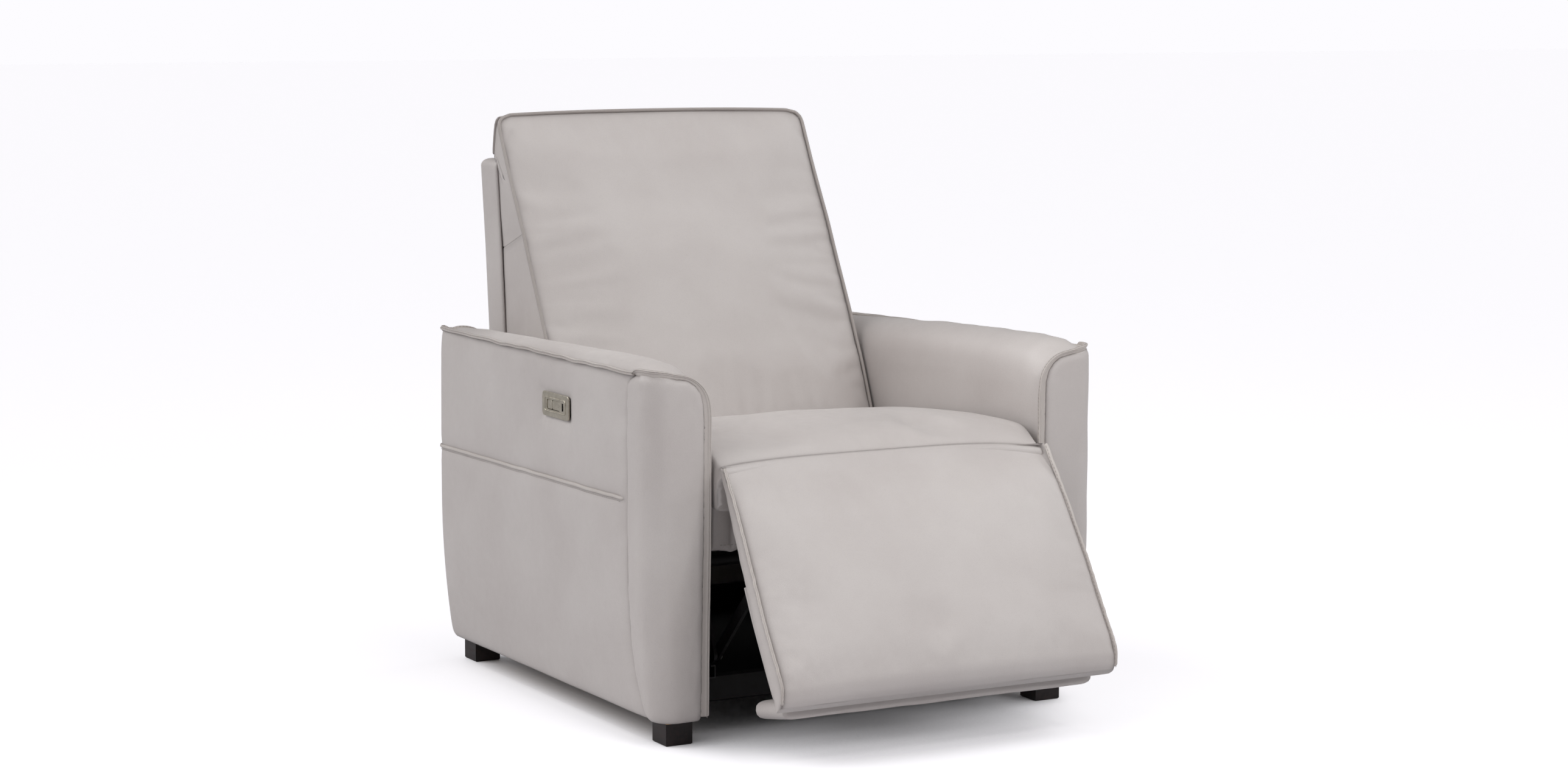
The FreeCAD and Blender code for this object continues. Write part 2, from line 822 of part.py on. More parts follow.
def drive_mid(closed, opened):
    """How far the crank stands from the middle of its swing, in radians."""
    return math.radians((opened - closed) / 2)


def drive_pin(y, z, arm, closed, opened):
    away = drive_mid(closed, opened)
    return y + arm * math.sin(away), z - arm * math.cos(away)


def drive_height(z, arm, closed, opened):
    swing = math.radians((opened + closed) / 2)
    return z - arm * (1 + math.cos(swing)) / 2


def drive_half_rise(arm, closed, opened):
    swing = math.radians((opened + closed) / 2)
    return arm * (1 - math.cos(swing)) / 2


def clevis(hub, pin, middle_x, hub_half_height):
    inner = yoke_width / 2 + clevis_gap
    outer = inner + clevis_thickness
    plates = [bar(hub, pin, hub_half_height, middle_x + inner, middle_x + outer),
              bar(hub, pin, hub_half_height, middle_x - outer, middle_x - inner)]
    y, z = pin
    return plates + [cross_rod(middle_x - outer, middle_x + outer, y, z, pin_radius)]


def footrest_crank():
    half = track_place + plate_thickness / 2 + shaft_end_gap
    shaft = cross_rod(-half, half, crank_y, crank_z, shaft_radius)
    y, z = crank_pin()
    arm = bar((crank_y, crank_z), (y, z), arm_plate_half_height, arm_plate_place,
              arm_plate_place + arm_plate_thickness)
    side = [arm, linkage_pin(y, z)]
    pin = drive_pin(crank_y, crank_z, drive_arm, footrest_closed, footrest_open)
    middle = clevis((crank_y, crank_z), pin, 0, arm_plate_half_height)
    return shaft.fuse(side + [mirrored(piece) for piece in side] + middle).removeSplitter()


def recline_crank():
    hub = (hinge_y + pin_radius, hinge_z - back_hinge_radius - arm_plate_half_height)
    pin = drive_pin(hinge_y, hinge_z, recline_arm, recline_upright, recline_flat)
    pieces = clevis(hub, pin, recline_drive_place, arm_plate_half_height)
    low = hinge_low_rail()
    half = yoke_width / 2 + clevis_gap + clevis_thickness
    cap = block(recline_drive_place - half, recline_drive_place + half, low[0], low[1],
                low[2] - clevis_thickness, low[2])
    above = block(-arm_side, arm_side, hinge_y - recline_arm, hinge_y + recline_arm, low[2], hinge_z + recline_arm)
    return cap.fuse(pieces).cut(above).removeSplitter()


# Linear drives
def drive_rod(middle_x, pin, height, half_rise, slack, towards, travel_in, travel_out):
    """A sliding rod with a slotted head that takes the crank pin; towards is +1 when it runs rearwards."""
    y = pin[0]
    slot_y = pin_radius + slack
    slot_z = pin_radius + half_rise + yoke_rise_gap
    half = yoke_width / 2
    head = block(middle_x - half, middle_x + half, y - slot_y - yoke_wall, y + slot_y + yoke_wall,
                 height - slot_z - yoke_wall, height + slot_z + yoke_wall)
    hole = block(middle_x - half - overrun, middle_x + half + overrun, y - slot_y, y + slot_y,
                 height - slot_z, height + slot_z)
    near = y + towards * (slot_y + yoke_wall)
    far = near + towards * (travel_in + tube_gap + rod_engaged + travel_out)
    rod = rod_between(at(middle_x, near, height), at(middle_x, far, height), rod_radius)
    return head.cut(hole).fuse(rod).removeSplitter()


def drive_body(middle_x, pin, height, slack, towards, travel_in, travel_out):
    """The outer tube, gearbox and motor of a drive, open where the rod comes out."""
    mouth = pin[0] + towards * (pin_radius + slack + yoke_wall + travel_in + tube_gap)
    inside = travel_in + rod_engaged + travel_out + tube_gap
    end = mouth + towards * (inside + tube_gap)
    tube = rod_between(at(middle_x, mouth, height), at(middle_x, end, height), tube_radius)
    bore = rod_between(at(middle_x, mouth - towards * overrun, height),
                       at(middle_x, mouth + towards * inside, height), rod_radius + rod_clearance)
    rear = end + towards * gearbox_length
    y_low = min(end, rear)
    half = gearbox_width / 2
    box = block(middle_x - half, middle_x + half, y_low, y_low + gearbox_length,
                height - gearbox_height / 2, height + gearbox_height / 2)
    box = box.makeFillet(overrun, [e for e in box.Edges if e.BoundBox.ZLength > overrun])
    top = at(middle_x, y_low + gearbox_length / 2, height - gearbox_height / 2)
    motor = rod_between(top, top.sub(at(0, 0, motor_length)), motor_radius)
    return tube.fuse([box, motor]).cut(bore).removeSplitter(), rear


def footrest_travel():
    stroke = drive_ratio * drive_arm
    return stroke * math.radians(footrest_closed), stroke * math.radians(footrest_open)


def recline_travel():
    stroke = recline_ratio * recline_arm
    return stroke * math.radians(recline_flat), stroke * math.radians(recline_upright)


def footrest_drive_parts():
    pin = drive_pin(crank_y, crank_z, drive_arm, footrest_closed, footrest_open)
    height = drive_height(crank_z, drive_arm, footrest_closed, footrest_open)
    rise = drive_half_rise(drive_arm, footrest_closed, footrest_open)
    travel_in, travel_out = footrest_travel()
    rod = drive_rod(0, pin, height, rise, yoke_slack, 1, travel_in, travel_out)
    body, rear = drive_body(0, pin, height, yoke_slack, 1, travel_in, travel_out)
    tube_face = arm_front + drive_tube_back - drive_tube_side / 2
    lug = block(-drive_lug, drive_lug, rear, tube_face, height - drive_lug, height + drive_lug)
    return rod, body.fuse(lug).removeSplitter()


def recline_drive_parts():
    pin = drive_pin(hinge_y, hinge_z, recline_arm, recline_upright, recline_flat)
    height = drive_height(hinge_z, recline_arm, recline_upright, recline_flat)
    rise = drive_half_rise(recline_arm, recline_upright, recline_flat)
    travel_in, travel_out = recline_travel()
    x = recline_drive_place
    rod = drive_rod(x, pin, height, rise, recline_slack, -1, travel_in, travel_out)
    body, rear = drive_body(x, pin, height, recline_slack, -1, travel_in, travel_out)
    y = arm_front + drive_tube_back
    half = drive_tube_side / 2
    saddle = block(x - drive_lug, x + drive_lug, y - half, y + half, drive_tube_height + half,
                   height - rod_radius - rod_clearance * 2)
    return rod, body.fuse(saddle).removeSplitter()


def drive_cross_tube():
    y = arm_front + drive_tube_back
    half = drive_tube_side / 2
    inner = half - drive_tube_wall
    reach = track_place - plate_thickness / 2
    outer = block(-reach, reach, y - half, y + half, drive_tube_height - half, drive_tube_height + half)
    hollow = block(-reach - overrun, reach + overrun, y - inner, y + inner,
                   drive_tube_height - inner, drive_tube_height + inner)
    return outer.cut(hollow)


# Back
def from_front(point):
    return arm_front + point[0], point[1]


def shifted(point, outward, out):
    return point[0] + outward[0] * out, point[1] + outward[1] * out


def back_line():
    points = [from_front(p) for p in (back_foot, back_low, back_mid, back_high, head_split)]
    before = [points[0]] + points[:-1]
    after = points[1:] + [points[-1]]
    return [(p, outward_of(a, b)) for p, a, b in zip(points, before, after)]


def head_line():
    points = [from_front(p) for p in (head_split, head_low, head_mid, head_high, head_crest)]
    before = [points[0]] + points[:-1]
    after = points[1:] + [points[-1]]
    return [(p, outward_of(a, b)) for p, a, b in zip(points, before, after)]


def split_outward():
    return back_line()[-1][1]


def along_split(gap):
    """The split point moved along the back's front line, up for a positive gap."""
    outward = split_outward()
    y, z = from_front(head_split)
    return y + outward[1] * gap, z - outward[0] * gap


def back_cushion():
    crowns = [back_crown / 2, back_crown, back_crown, back_crown, head_crown]
    stations = []
    for (point, outward), crown in zip(back_line(), crowns):
        stations.append((point, outward, back_half_width, back_padding, crown, side_draw))
    stations[-1] = (along_split(-head_split_gap), split_outward()) + stations[-1][2:]
    return pad(stations)


def headrest_cushion():
    depths = [head_padding, head_padding, head_padding, head_high_padding, head_crest_padding]
    crowns = [head_crown, head_crown, head_crown, head_crown * 2 / 3, head_crown / 3]
    narrowing = [0, 0, 0, head_crest_narrowing / 8, head_crest_narrowing]
    stations = []
    for (point, outward), depth, crown, less in zip(head_line(), depths, crowns, narrowing):
        stations.append((point, outward, back_half_width - less, depth, crown, side_draw))
    stations[0] = (along_split(head_split_gap), split_outward()) + stations[0][2:]
    return pad(stations).cut(head_board())


def behind_back(extra):
    return [shifted(point, outward, -back_padding - extra) for point, outward in back_line()]


def inside_panel():
    points = [from_front(p) for p in (back_panel_low, back_panel_mid, back_panel_high)]
    return [(y - back_panel_thickness, z) for y, z in points]


def at_height(low, high, z):
    """Where the line through two (y, z) points stands at a height."""
    return low[0] + (high[0] - low[0]) * (z - low[1]) / (high[1] - low[1])


def back_side_frame():
    front = behind_back(soft_gap * 3)
    rear = inside_panel()
    nose_y = hinge_y - arm_plate_half_height - back_hinge_radius
    rail_low = hinge_low_rail()[2]
    top = front[-1][1]
    outline = [(nose_y, rail_low), (nose_y, hinge_z + arm_plate_half_height + back_hinge_radius)]
    outline += front + [(at_height(rear[1], rear[2], top), top), rear[1], (rear[0][0], rail_low)]
    body = plate_across(outline, frame_side_place, frame_side_place + frame_side_thickness)
    hole = cross_rod(0, arm_side, hinge_y, hinge_z, back_hinge_radius + hole_clearance)
    return body.cut(hole)


def hinge_low_rail():
    """Front, rear, bottom and top of the rail beside the recline hinge."""
    front = hinge_y - arm_plate_half_height
    rear = hinge_y + back_rail_depth * 2
    return front, rear, hinge_z - back_rail_height / 3, hinge_z + back_rail_height / 3


def upper_rail_corners():
    """The upper rail leans with the back: front top, front low, rear low, rear top."""
    low, high = behind_back(spring_wire * 2 + soft_gap * 6)[2:4]
    outward = outward_of(low, high)
    top = shifted(high, (-outward[1], outward[0]), back_rail_drop)
    bottom = shifted(top, (-outward[1], outward[0]), back_rail_height)
    return [top, bottom, shifted(bottom, outward, -back_rail_depth), shifted(top, outward, -back_rail_depth)]


def back_cross_rails():
    half = frame_side_place
    front, rear, low, high = hinge_low_rail()
    bottom = block(-half, half, front, rear, low, high)
    return Part.makeCompound([bottom, plate_across(upper_rail_corners(), -half, half)])


def back_springs():
    front, rear, low, high = hinge_low_rail()
    top, bottom = upper_rail_corners()[:2]
    outward = outward_of(bottom, top)
    start = (rear - spring_hold, high + spring_wire + soft_gap)
    end = shifted(bottom, (outward[1], -outward[0]), spring_hold)
    return spring_row(start, shifted(end, outward, spring_wire + soft_gap * 2))


def back_outer_panel():
    rear = [from_front(p) for p in (back_panel_low, back_panel_mid, back_panel_high, back_panel_top)]
    inner = [(y - back_panel_thickness, z) for y, z in rear]
    y_cap = arm_front + back_cap_front
    under_cap = back_cap_height - back_panel_thickness
    inner_top = (at_height(inner[2], inner[3], under_cap), under_cap)
    corner = (rear[3][0] - (back_cap_height - rear[3][1]), back_cap_height)
    outline = rear + [corner, (y_cap, back_cap_height), (y_cap, under_cap), inner_top] + inner[2::-1]
    return plate_across(outline, -back_half_width, back_half_width)


def back_side_panel():
    front = behind_back(soft_gap * 2)
    rear = inside_panel()
    under_cap = back_cap_height - back_panel_thickness
    top = shifted(from_front(back_panel_top), (1, 0), -back_panel_thickness)
    cap_y = arm_front + back_cap_front
    outline = [(front[0][0], back_panel_low[1])] + front
    outline += [(cap_y, front[-1][1] + back_rail_height), (cap_y, under_cap)]
    outline += [(at_height(rear[2], top, under_cap), under_cap), rear[2], rear[1], rear[0]]
    x = back_half_width - back_side_skin
    body = plate_across(outline, x, back_half_width)
    return body.cut(cross_rod(0, arm_side, hinge_y, hinge_z, back_hinge_radius * 2))


# Headrest tilt: curved arms on the head board slide in guides on the back
def head_axis():
    return shifted(from_front(head_split), split_outward(), head_crown)


def around_head(radius, angle):
    """The (y, z) point at a radius from the head axis, at an angle above the level in degrees."""
    y, z = head_axis()
    turn = math.radians(angle)
    return y + radius * math.cos(turn), z + radius * math.sin(turn)


def ring_slice(x_low, x_high, radius_low, radius_high, low, high):
    """A slice of a ring about the head axis, between two angles."""
    def on_ring(radius, angle):
        return at(x_low, *around_head(radius, angle))

    middle = (low + high) / 2
    edges = [
        arc_edge(on_ring(radius_high, low), on_ring(radius_high, middle), on_ring(radius_high, high)),
        line_edge(on_ring(radius_high, high), on_ring(radius_low, high)),
        arc_edge(on_ring(radius_low, high), on_ring(radius_low, middle), on_ring(radius_low, low)),
        line_edge(on_ring(radius_low, low), on_ring(radius_high, low)),
    ]
    return Part.Face(Part.Wire(edges)).extrude(at(x_high - x_low, 0, 0))


def head_board():
    """The plywood behind the headrest padding."""
    rows = [shifted(point, outward, -head_padding - soft_gap) for point, outward in head_line()[1:3]]
    outward = outward_of(*rows)
    corners = [rows[0], rows[1], shifted(rows[1], outward, -head_board_thickness),
               shifted(rows[0], outward, -head_board_thickness)]
    half = back_half_width - head_board_inset
    return plate_across(corners, -half, half)


def head_quadrant():
    """The curved arm, with the foot that screws to the head board."""
    half = quadrant_depth / 2
    arm = ring_slice(guide_place, guide_place + quadrant_thickness, guide_radius - half,
                     guide_radius + half, quadrant_low_degrees, quadrant_high_degrees)
    rows = [shifted(point, outward, -head_padding - soft_gap) for point, outward in head_line()[1:3]]
    outward = outward_of(*rows)
    low = shifted(rows[0], outward, -head_board_thickness)
    high = shifted(rows[1], outward, -head_board_thickness)
    near = (low[0] * 2 / 3 + high[0] / 3, low[1] * 2 / 3 + high[1] / 3)
    corners = [low, near, shifted(near, outward, -guide_radius), shifted(low, outward, -guide_radius)]
    foot_plate = plate_across(corners, guide_place, guide_place + quadrant_thickness)
    reach = ring_slice(guide_place, guide_place + quadrant_thickness, guide_radius / 2,
                       guide_radius + half, quadrant_low_degrees / 4, quadrant_high_degrees)
    return arm.fuse(foot_plate.common(reach)).cut(head_board()).removeSplitter()


def head_guide():
    """A curved channel on the upper back rail, round the arm."""
    half = quadrant_depth / 2 + guide_clearance
    x_low = guide_place - guide_clearance
    x_high = guide_place + quadrant_thickness + guide_clearance
    outer = ring_slice(x_low - guide_wall, x_high + guide_wall, guide_radius - half - guide_wall,
                       guide_radius + half + guide_wall, guide_low_degrees, guide_high_degrees)
    inner = ring_slice(x_low, x_high, guide_radius - half, guide_radius + half,
                       guide_low_degrees - overrun, guide_high_degrees + overrun)
    rail = upper_rail_corners()
    rim = guide_radius + half + guide_wall / 2
    corners = [rail[2], rail[3], around_head(rim, guide_low_degrees), around_head(rim, stem_high_degrees),
               around_head(rim + guide_wall * 2, stem_high_degrees)]
    stem = plate_across(corners, x_low - guide_wall, x_high + guide_wall)
    swept = ring_slice(x_low, x_high, guide_radius - half, guide_radius + half, quadrant_low_degrees * 2, head_tilt * 2)
    return outer.cut(inner).fuse(stem).cut(swept).removeSplitter()


# Switch, drawn on +X like the rest and mirrored to the right arm
def switch_slab(offset, length, height, x_low, x_high, radius):
    """A rounded plate about the switch's middle; offset is towards the rear."""
    y = arm_front + switch_back + offset
    return rounded_plate(y - length / 2, y + length / 2, switch_height - height / 2,
                         switch_height + height / 2, radius, x_low, x_high)


def port_slab(shrink, x_low, x_high):
    y = arm_front + switch_back - port_offset
    half_y = port_wide / 2 - shrink
    half_z = port_tall / 2 - shrink
    return block(x_low, x_high, y - half_y, y + half_y, switch_height - half_z, switch_height + half_z)


def switch_bezel():
    plate = switch_slab(0, switch_length, switch_tall, arm_side, arm_side + switch_plate, switch_corner)
    rim = [e for e in plate.Edges if e.BoundBox.XMin > arm_side + switch_plate / 2]
    plate = plate.makeFillet(switch_plate / 3, rim)
    window = switch_slab(pocket_offset, pocket_length, pocket_tall, 0, arm_side * 2, pocket_corner)
    return plate.cut([window, port_slab(-port_fit, 0, arm_side * 2)])


def switch_housing():
    body = switch_slab(0, housing_length, housing_tall, arm_side - housing_depth, arm_side, switch_corner)
    floor = arm_side - button_depth - button_travel
    pocket = switch_slab(pocket_offset, pocket_length, pocket_tall, floor, arm_side * 2, pocket_corner)
    return body.cut([pocket, port_slab(-port_fit, 0, arm_side * 2)])


def usb_port():
    high = arm_side + switch_plate - button_sink
    shell = port_slab(0, high - port_depth, high)
    hollow = port_slab(port_wall, high - port_depth + port_tongue, high + overrun)
    y = arm_front + switch_back - port_offset
    half_z = port_tall / 2 - port_wall * 3
    tongue = block(high - port_depth, high - port_tongue, y - port_tongue / 2, y + port_tongue / 2,
                   switch_height - half_z, switch_height + half_z)
    return shell.cut(hollow).fuse(tongue).removeSplitter()


def button(start_share, end_share):
    """A push button that fills its share of the pocket's length, less its running gaps."""
    high = arm_side + switch_plate - button_sink
    y = arm_front + switch_back + pocket_offset - pocket_length / 2
    y_low = y + pocket_length * start_share + button_gap
    y_high = y + pocket_length * end_share - button_gap
    half = pocket_tall / 2 - button_gap
    corner = pocket_corner - button_gap
    body = rounded_plate(y_low, y_high, switch_height - half, switch_height + half, corner,
                         high - button_depth + button_travel, high)
    return body.makeFillet(button_dish, [e for e in body.Edges if e.BoundBox.XMin > high - button_dish])


# Power
def power_supply():
    x = supply_place
    y_high = arm_front + rear_rail_back
    body = block(-x - supply_length / 2, -x + supply_length / 2, y_high - supply_wide, y_high,
                 cross_rail_low, cross_rail_low + supply_tall)
    return body.makeFillet(supply_corner, [e for e in body.Edges if e.BoundBox.ZLength > supply_corner * 2])


def inlet_body(clearance):
    x = -inlet_place
    y_high = arm_front + rear_rail_back + cross_rail_depth + apron_thickness
    z = (cross_rail_low + cross_rail_high) / 2
    half_x = inlet_wide / 2 + clearance
    half_z = inlet_tall / 2 + clearance
    return block(x - half_x, x + half_x, y_high - inlet_depth - clearance, y_high + clearance,
                 z - half_z, z + half_z)


def power_inlet():
    body = inlet_body(0)
    centre = body.BoundBox.Center
    box = body.BoundBox
    hollow = block(box.XMin + inlet_wall, box.XMax - inlet_wall, box.YMin + inlet_wall,
                   box.YMax + overrun, box.ZMin + inlet_wall, box.ZMax - inlet_wall)
    pins = [rod_between(at(centre.x + side * inlet_pin_spread, box.YMin, centre.z),
                        at(centre.x + side * inlet_pin_spread, box.YMax - inlet_wall, centre.z), inlet_pin)
            for side in (-1, 1)]
    return body.cut(hollow).fuse(pins)


def pair(shape):
    return Part.makeCompound([shape, mirrored(shape)])


def recline_pin():
    inner = frame_side_place
    outer = track_place + plate_thickness / 2
    shank = cross_rod(inner, outer, hinge_y, hinge_z, back_hinge_radius)
    head = cross_rod(outer, outer + plate_thickness, hinge_y, hinge_z, back_hinge_radius * 3 / 2)
    return shank.fuse(head).removeSplitter()


# The pieces, body by body
corner_names = ["foot_front_right", "foot_front_left", "foot_rear_right", "foot_rear_left"]
for corner_name, (foot_x, foot_y) in zip(corner_names, foot_centres()):
    write(corner_name, foot(foot_x, foot_y))
write("foot_studs", Part.makeCompound([stud(x, y, 0) for x, y in foot_centres()]))

switch_hole = switch_slab(0, housing_length + housing_clearance * 2, housing_tall + housing_clearance * 2,
                          arm_side - housing_depth - housing_clearance, arm_side * 2, switch_corner)
for side in ("right", "left"):
    outer_panel = arm_outer_panel()
    if side == "right":
        outer_panel = outer_panel.cut(switch_hole)
    write(side + "_arm_frame", on_side(side, arm_timbers()))
    write(side + "_arm_outer_panel", on_side(side, outer_panel))
    write(side + "_arm_front_pad", on_side(side, arm_front_pad()))
    write(side + "_arm_top_pad", on_side(side, arm_top_pad()))
    write(side + "_glide_track", on_side(side, glide_track()))
    write(side + "_glide_runner", on_side(side, glide_runner()))
    write(side + "_side_plate", on_side(side, side_plate()))
    write(side + "_back_frame", on_side(side, back_side_frame()))
    write(side + "_back_side_panel", on_side(side, back_side_panel()))

write("base_cross_rails", Part.makeCompound([cross_rail(front_rail_back, 0), cross_rail(rear_rail_back, 0)]))
write("rear_apron", rear_apron())
write("power_supply", power_supply())
write("power_inlet", power_inlet())
write("switch_bezel", mirrored(switch_bezel()))
write("switch_housing", mirrored(switch_housing()))
write("usb_port", mirrored(usb_port()))

short_share = short_button / pocket_length
write("open_button", mirrored(button(1 - short_share, 1)))
write("close_button", mirrored(button(0, 1 - short_share)))

write("seat_side_rails", pair(seat_side_rail()))
write("seat_cross_rails", Part.makeCompound([seat_cross_rail(seat_rail_front),
                                             seat_cross_rail(seat_rail_rear - seat_rail_thickness)]))
write("seat_springs", seat_springs())
write("seat_cushion", seat_cushion())
write("seat_front_panel", seat_front_panel())
write("drive_cross_tube", drive_cross_tube())
write("recline_pins", pair(recline_pin()))

footrest_rod, footrest_drive = footrest_drive_parts()
recline_rod, recline_drive = recline_drive_parts()
write("footrest_drive", footrest_drive)
write("recline_drive", recline_drive)
write("footrest_rod", footrest_rod)
write("recline_rod", recline_rod)

write("back_cross_rails", back_cross_rails())
write("back_springs", back_springs())
write("back_cushion", back_cushion())
write("back_outer_panel", back_outer_panel())
write("recline_crank", recline_crank())
write("headrest_guides", pair(head_guide()))
write("headrest_board", head_board())
write("headrest_cushion", headrest_cushion())
write("headrest_quadrants", pair(head_quadrant()))

write("footrest_pad", footrest_pad())
leaves = [footrest_leaf(leaf_place), footrest_leaf(-leaf_place)]
write("ottoman_board", ottoman_board().cut(leaves + [barrel_relief(leaf_place), barrel_relief(-leaf_place)]))
write("footrest_brackets", pair(footrest_bracket()))
write("flap_hinge_leaves", Part.makeCompound(leaves))
flap_leaves = [flap_leaf(leaf_place), flap_leaf(-leaf_place)]
write("flap_pad", flap_pad().cut(flap_leaves))
write("flap_leaves", Part.makeCompound(flap_leaves))
write("footrest_crank", footrest_crank())
write("footrest_links", pair(footrest_link()))
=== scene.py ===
from math import cos, exp, hypot, pi, radians, sin, sqrt
import bpy
import bmesh
import numpy as np
from mathutils import Matrix, Vector, kdtree, noise


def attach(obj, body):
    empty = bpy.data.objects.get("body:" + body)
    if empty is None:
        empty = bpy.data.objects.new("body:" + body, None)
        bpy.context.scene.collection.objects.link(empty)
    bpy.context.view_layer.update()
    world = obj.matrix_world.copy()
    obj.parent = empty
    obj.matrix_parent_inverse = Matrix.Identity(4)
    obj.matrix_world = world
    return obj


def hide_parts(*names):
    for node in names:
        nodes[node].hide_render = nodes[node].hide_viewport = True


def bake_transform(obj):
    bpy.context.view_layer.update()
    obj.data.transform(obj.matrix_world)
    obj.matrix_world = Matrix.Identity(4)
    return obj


# A leather power recliner, its footrest part way out. Metres, +Z up, -Y the front.
# "Right" is the sitter's own right, at -X, the arm with the switch.

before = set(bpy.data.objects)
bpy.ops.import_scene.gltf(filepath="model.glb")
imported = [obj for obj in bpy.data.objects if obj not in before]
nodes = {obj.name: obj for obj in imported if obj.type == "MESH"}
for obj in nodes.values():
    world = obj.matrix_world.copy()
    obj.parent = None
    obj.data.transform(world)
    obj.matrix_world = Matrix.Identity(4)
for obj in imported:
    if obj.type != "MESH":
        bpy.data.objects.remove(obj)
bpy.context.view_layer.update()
scene = bpy.context.scene
armFrontY = -0.333              # the arms' front plane; depths are measured back from it
quarter = pi / 2
sideNames = {-1: "right", 1: "left"}


# Small tools

def atDepth(x, depth, z):
    return (x, depth + armFrontY, z)


def mix(a, b, t):
    return a + (b - a) * t


def smooth(t):
    t = min(max(t, 0.0), 1.0)
    return t * t * (3 - 2 * t)


def readTable(table, x):
    return float(np.interp(x, [p[0] for p in table], [p[1] for p in table]))


def wave(x, y, z, size, seed):
    # smooth noise from -1 to 1, its swells about a size apart; every ripple has its own seed
    return noise.noise(Vector((x / size + seed, y / size, z / size)))


def rollIn(distance, reach):
    # 0 at a seam, 1 well inside the panel
    return 1 - exp(-max(distance, 0.0) / reach)


def cornerIn(fromEnd, radius):
    # how far a rounded corner draws in, by the distance from its end
    left = max(radius - max(fromEnd, 0.0), 0.0)
    return radius - sqrt(max(radius ** 2 - left ** 2, 0.0))


def flattened(rows):
    return [p for row in rows for p in row]


def spread(low, high, step):
    count = max(2, int(round(abs(high - low) / step)) + 1)
    return [mix(low, high, i / (count - 1)) for i in range(count)]


def spreadAround(low, high, step, places, fineStep, reach):
    # even steps, finer near each place
    values = [low]
    while values[-1] < high - fineStep * 0.5:
        near = min(abs(values[-1] + fineStep - p) for p in places)
        share = smooth((near - reach) / (reach * 2))
        values.append(min(high, values[-1] + mix(fineStep, step, share)))
    values[-1] = high
    return values


def quarterTurns(count):
    # angles up to a quarter turn
    return [quarter * k / count for k in range(1, count + 1)]


def acrossShares(count, even=0.55):
    # places from -1 to 1, closer together towards the ends
    return [mix(-cos(pi * i / count), -1 + 2 * i / count, even) for i in range(count + 1)]


def newPiece(name, vertices, faces, material, inside=None, closed=False):
    mesh = bpy.data.meshes.new(name)
    mesh.from_pydata([tuple(v) for v in vertices], [], faces)
    piece = bpy.data.objects.new(name, mesh)
    scene.collection.objects.link(piece)
    shape = bmesh.new()
    shape.from_mesh(mesh)
    if closed:
        bmesh.ops.remove_doubles(shape, verts=shape.verts, dist=1e-6)
        bmesh.ops.recalc_face_normals(shape, faces=shape.faces)
    elif inside is not None:
        centre = Vector(inside)
        facing = sum(f.normal.dot(f.calc_center_median() - centre) * f.calc_area() for f in shape.faces)
        if facing < 0:
            bmesh.ops.reverse_faces(shape, faces=shape.faces)
    shape.to_mesh(mesh)
    shape.free()
    mesh.polygons.foreach_set("use_smooth", [True] * len(mesh.polygons))
    mesh.materials.append(material)
    return piece


def gridFaces(rowCount, columnCount, around=False):
    faces = []
    for i in range(rowCount - 1):
        for j in range(columnCount if around else columnCount - 1):
            a = i * columnCount + j
            b = i * columnCount + (j + 1) % columnCount
            faces.append((a, b, b + columnCount, a + columnCount))
    return faces


def walled(piece, thickness, offset=-1.0):
    wall = piece.modifiers.new("wall", "SOLIDIFY")
    wall.thickness = thickness
    wall.offset = offset
    return piece


def smoothed(piece):
    rounder = piece.modifiers.new("rounder", "SUBSURF")
    rounder.levels = rounder.render_levels = 1
    return piece


def coverPiece(name, rows, material, inside, thickness, keep=None):
    # an open cover from rows of points, with its thickness inwards
    vertices = flattened(rows)
    faces = gridFaces(len(rows), len(rows[0]))
    if keep is not None:
        faces = [f for f in faces if keep(sum((Vector(vertices[i]) for i in f), Vector()) / 4)]
    return settle(walled(newPiece(name, vertices, faces, material, inside), thickness))


def closedPiece(name, rows, material):
    # a closed form from rings of points, its two ends filled
    columns = len(rows[0])
    vertices = flattened(rows)
    faces = gridFaces(len(rows), columns, around=True)
    faces.append(tuple(range(columns)))
    faces.append(tuple(range(len(vertices) - columns, len(vertices))))
    return newPiece(name, vertices, faces, material, closed=True)


def settle(piece):
    # applies the modifiers and leaves a plain mesh
    bpy.context.view_layer.update()
    evaluated = piece.evaluated_get(bpy.context.evaluated_depsgraph_get())
    mesh = bpy.data.meshes.new_from_object(evaluated)
    piece.modifiers.clear()
    piece.data = mesh
    return piece


def relaxed(piece, pinned, slack, cap, firm):
    # a short cloth simulation: the cover swells and creases between its pinned seams
    starts = [v.co.copy() for v in piece.data.vertices]
    group = piece.vertex_groups.new(name="seams")
    group.add(pinned, 1.0, "REPLACE")
    cloth = piece.modifiers.new("cloth", "CLOTH")
    settings = {
        "vertex_group_mass": "seams", "quality": 6, "mass": 0.4, "tension_stiffness": firm,
        "compression_stiffness": firm, "shear_stiffness": firm, "bending_stiffness": 0.6,
        "tension_damping": 12.0, "compression_damping": 12.0, "shrink_min": -slack,
        "use_pressure": True, "uniform_pressure_force": 1.6,
    }
    for setting, value in settings.items():
        setattr(cloth.settings, setting, value)
    cloth.settings.effector_weights.gravity = 0.0
    cloth.collision_settings.use_collision = False
    for step in range(1, 21):
        scene.frame_set(step)
    settle(piece)
    scene.frame_set(1)
    moves = []
    for vertex, start in zip(piece.data.vertices, starts):
        move = vertex.co - start
        moves.append(move.length)
        if move.length > cap:
            vertex.co = start + move * (cap / move.length)
    piece.vertex_groups.clear()
    print(piece.name, "moved up to", round(max(moves), 4), "mean", round(sum(moves) / len(moves), 4))


def heldVertices(piece, freePlaces):
    # the vertices that lie at none of the free places
    free = {tuple(round(c, 5) for c in p) for p in freePlaces}
    return [v.index for v in piece.data.vertices if tuple(round(c, 5) for c in v.co) not in free]


def joined(name, parts):
    target = parts[0]
    shape = bmesh.new()
    for part in parts:
        shape.from_mesh(part.data)
    for part in parts[1:]:
        bpy.data.objects.remove(part)
    shape.to_mesh(target.data)
    shape.free()
    target.name = name
    return target


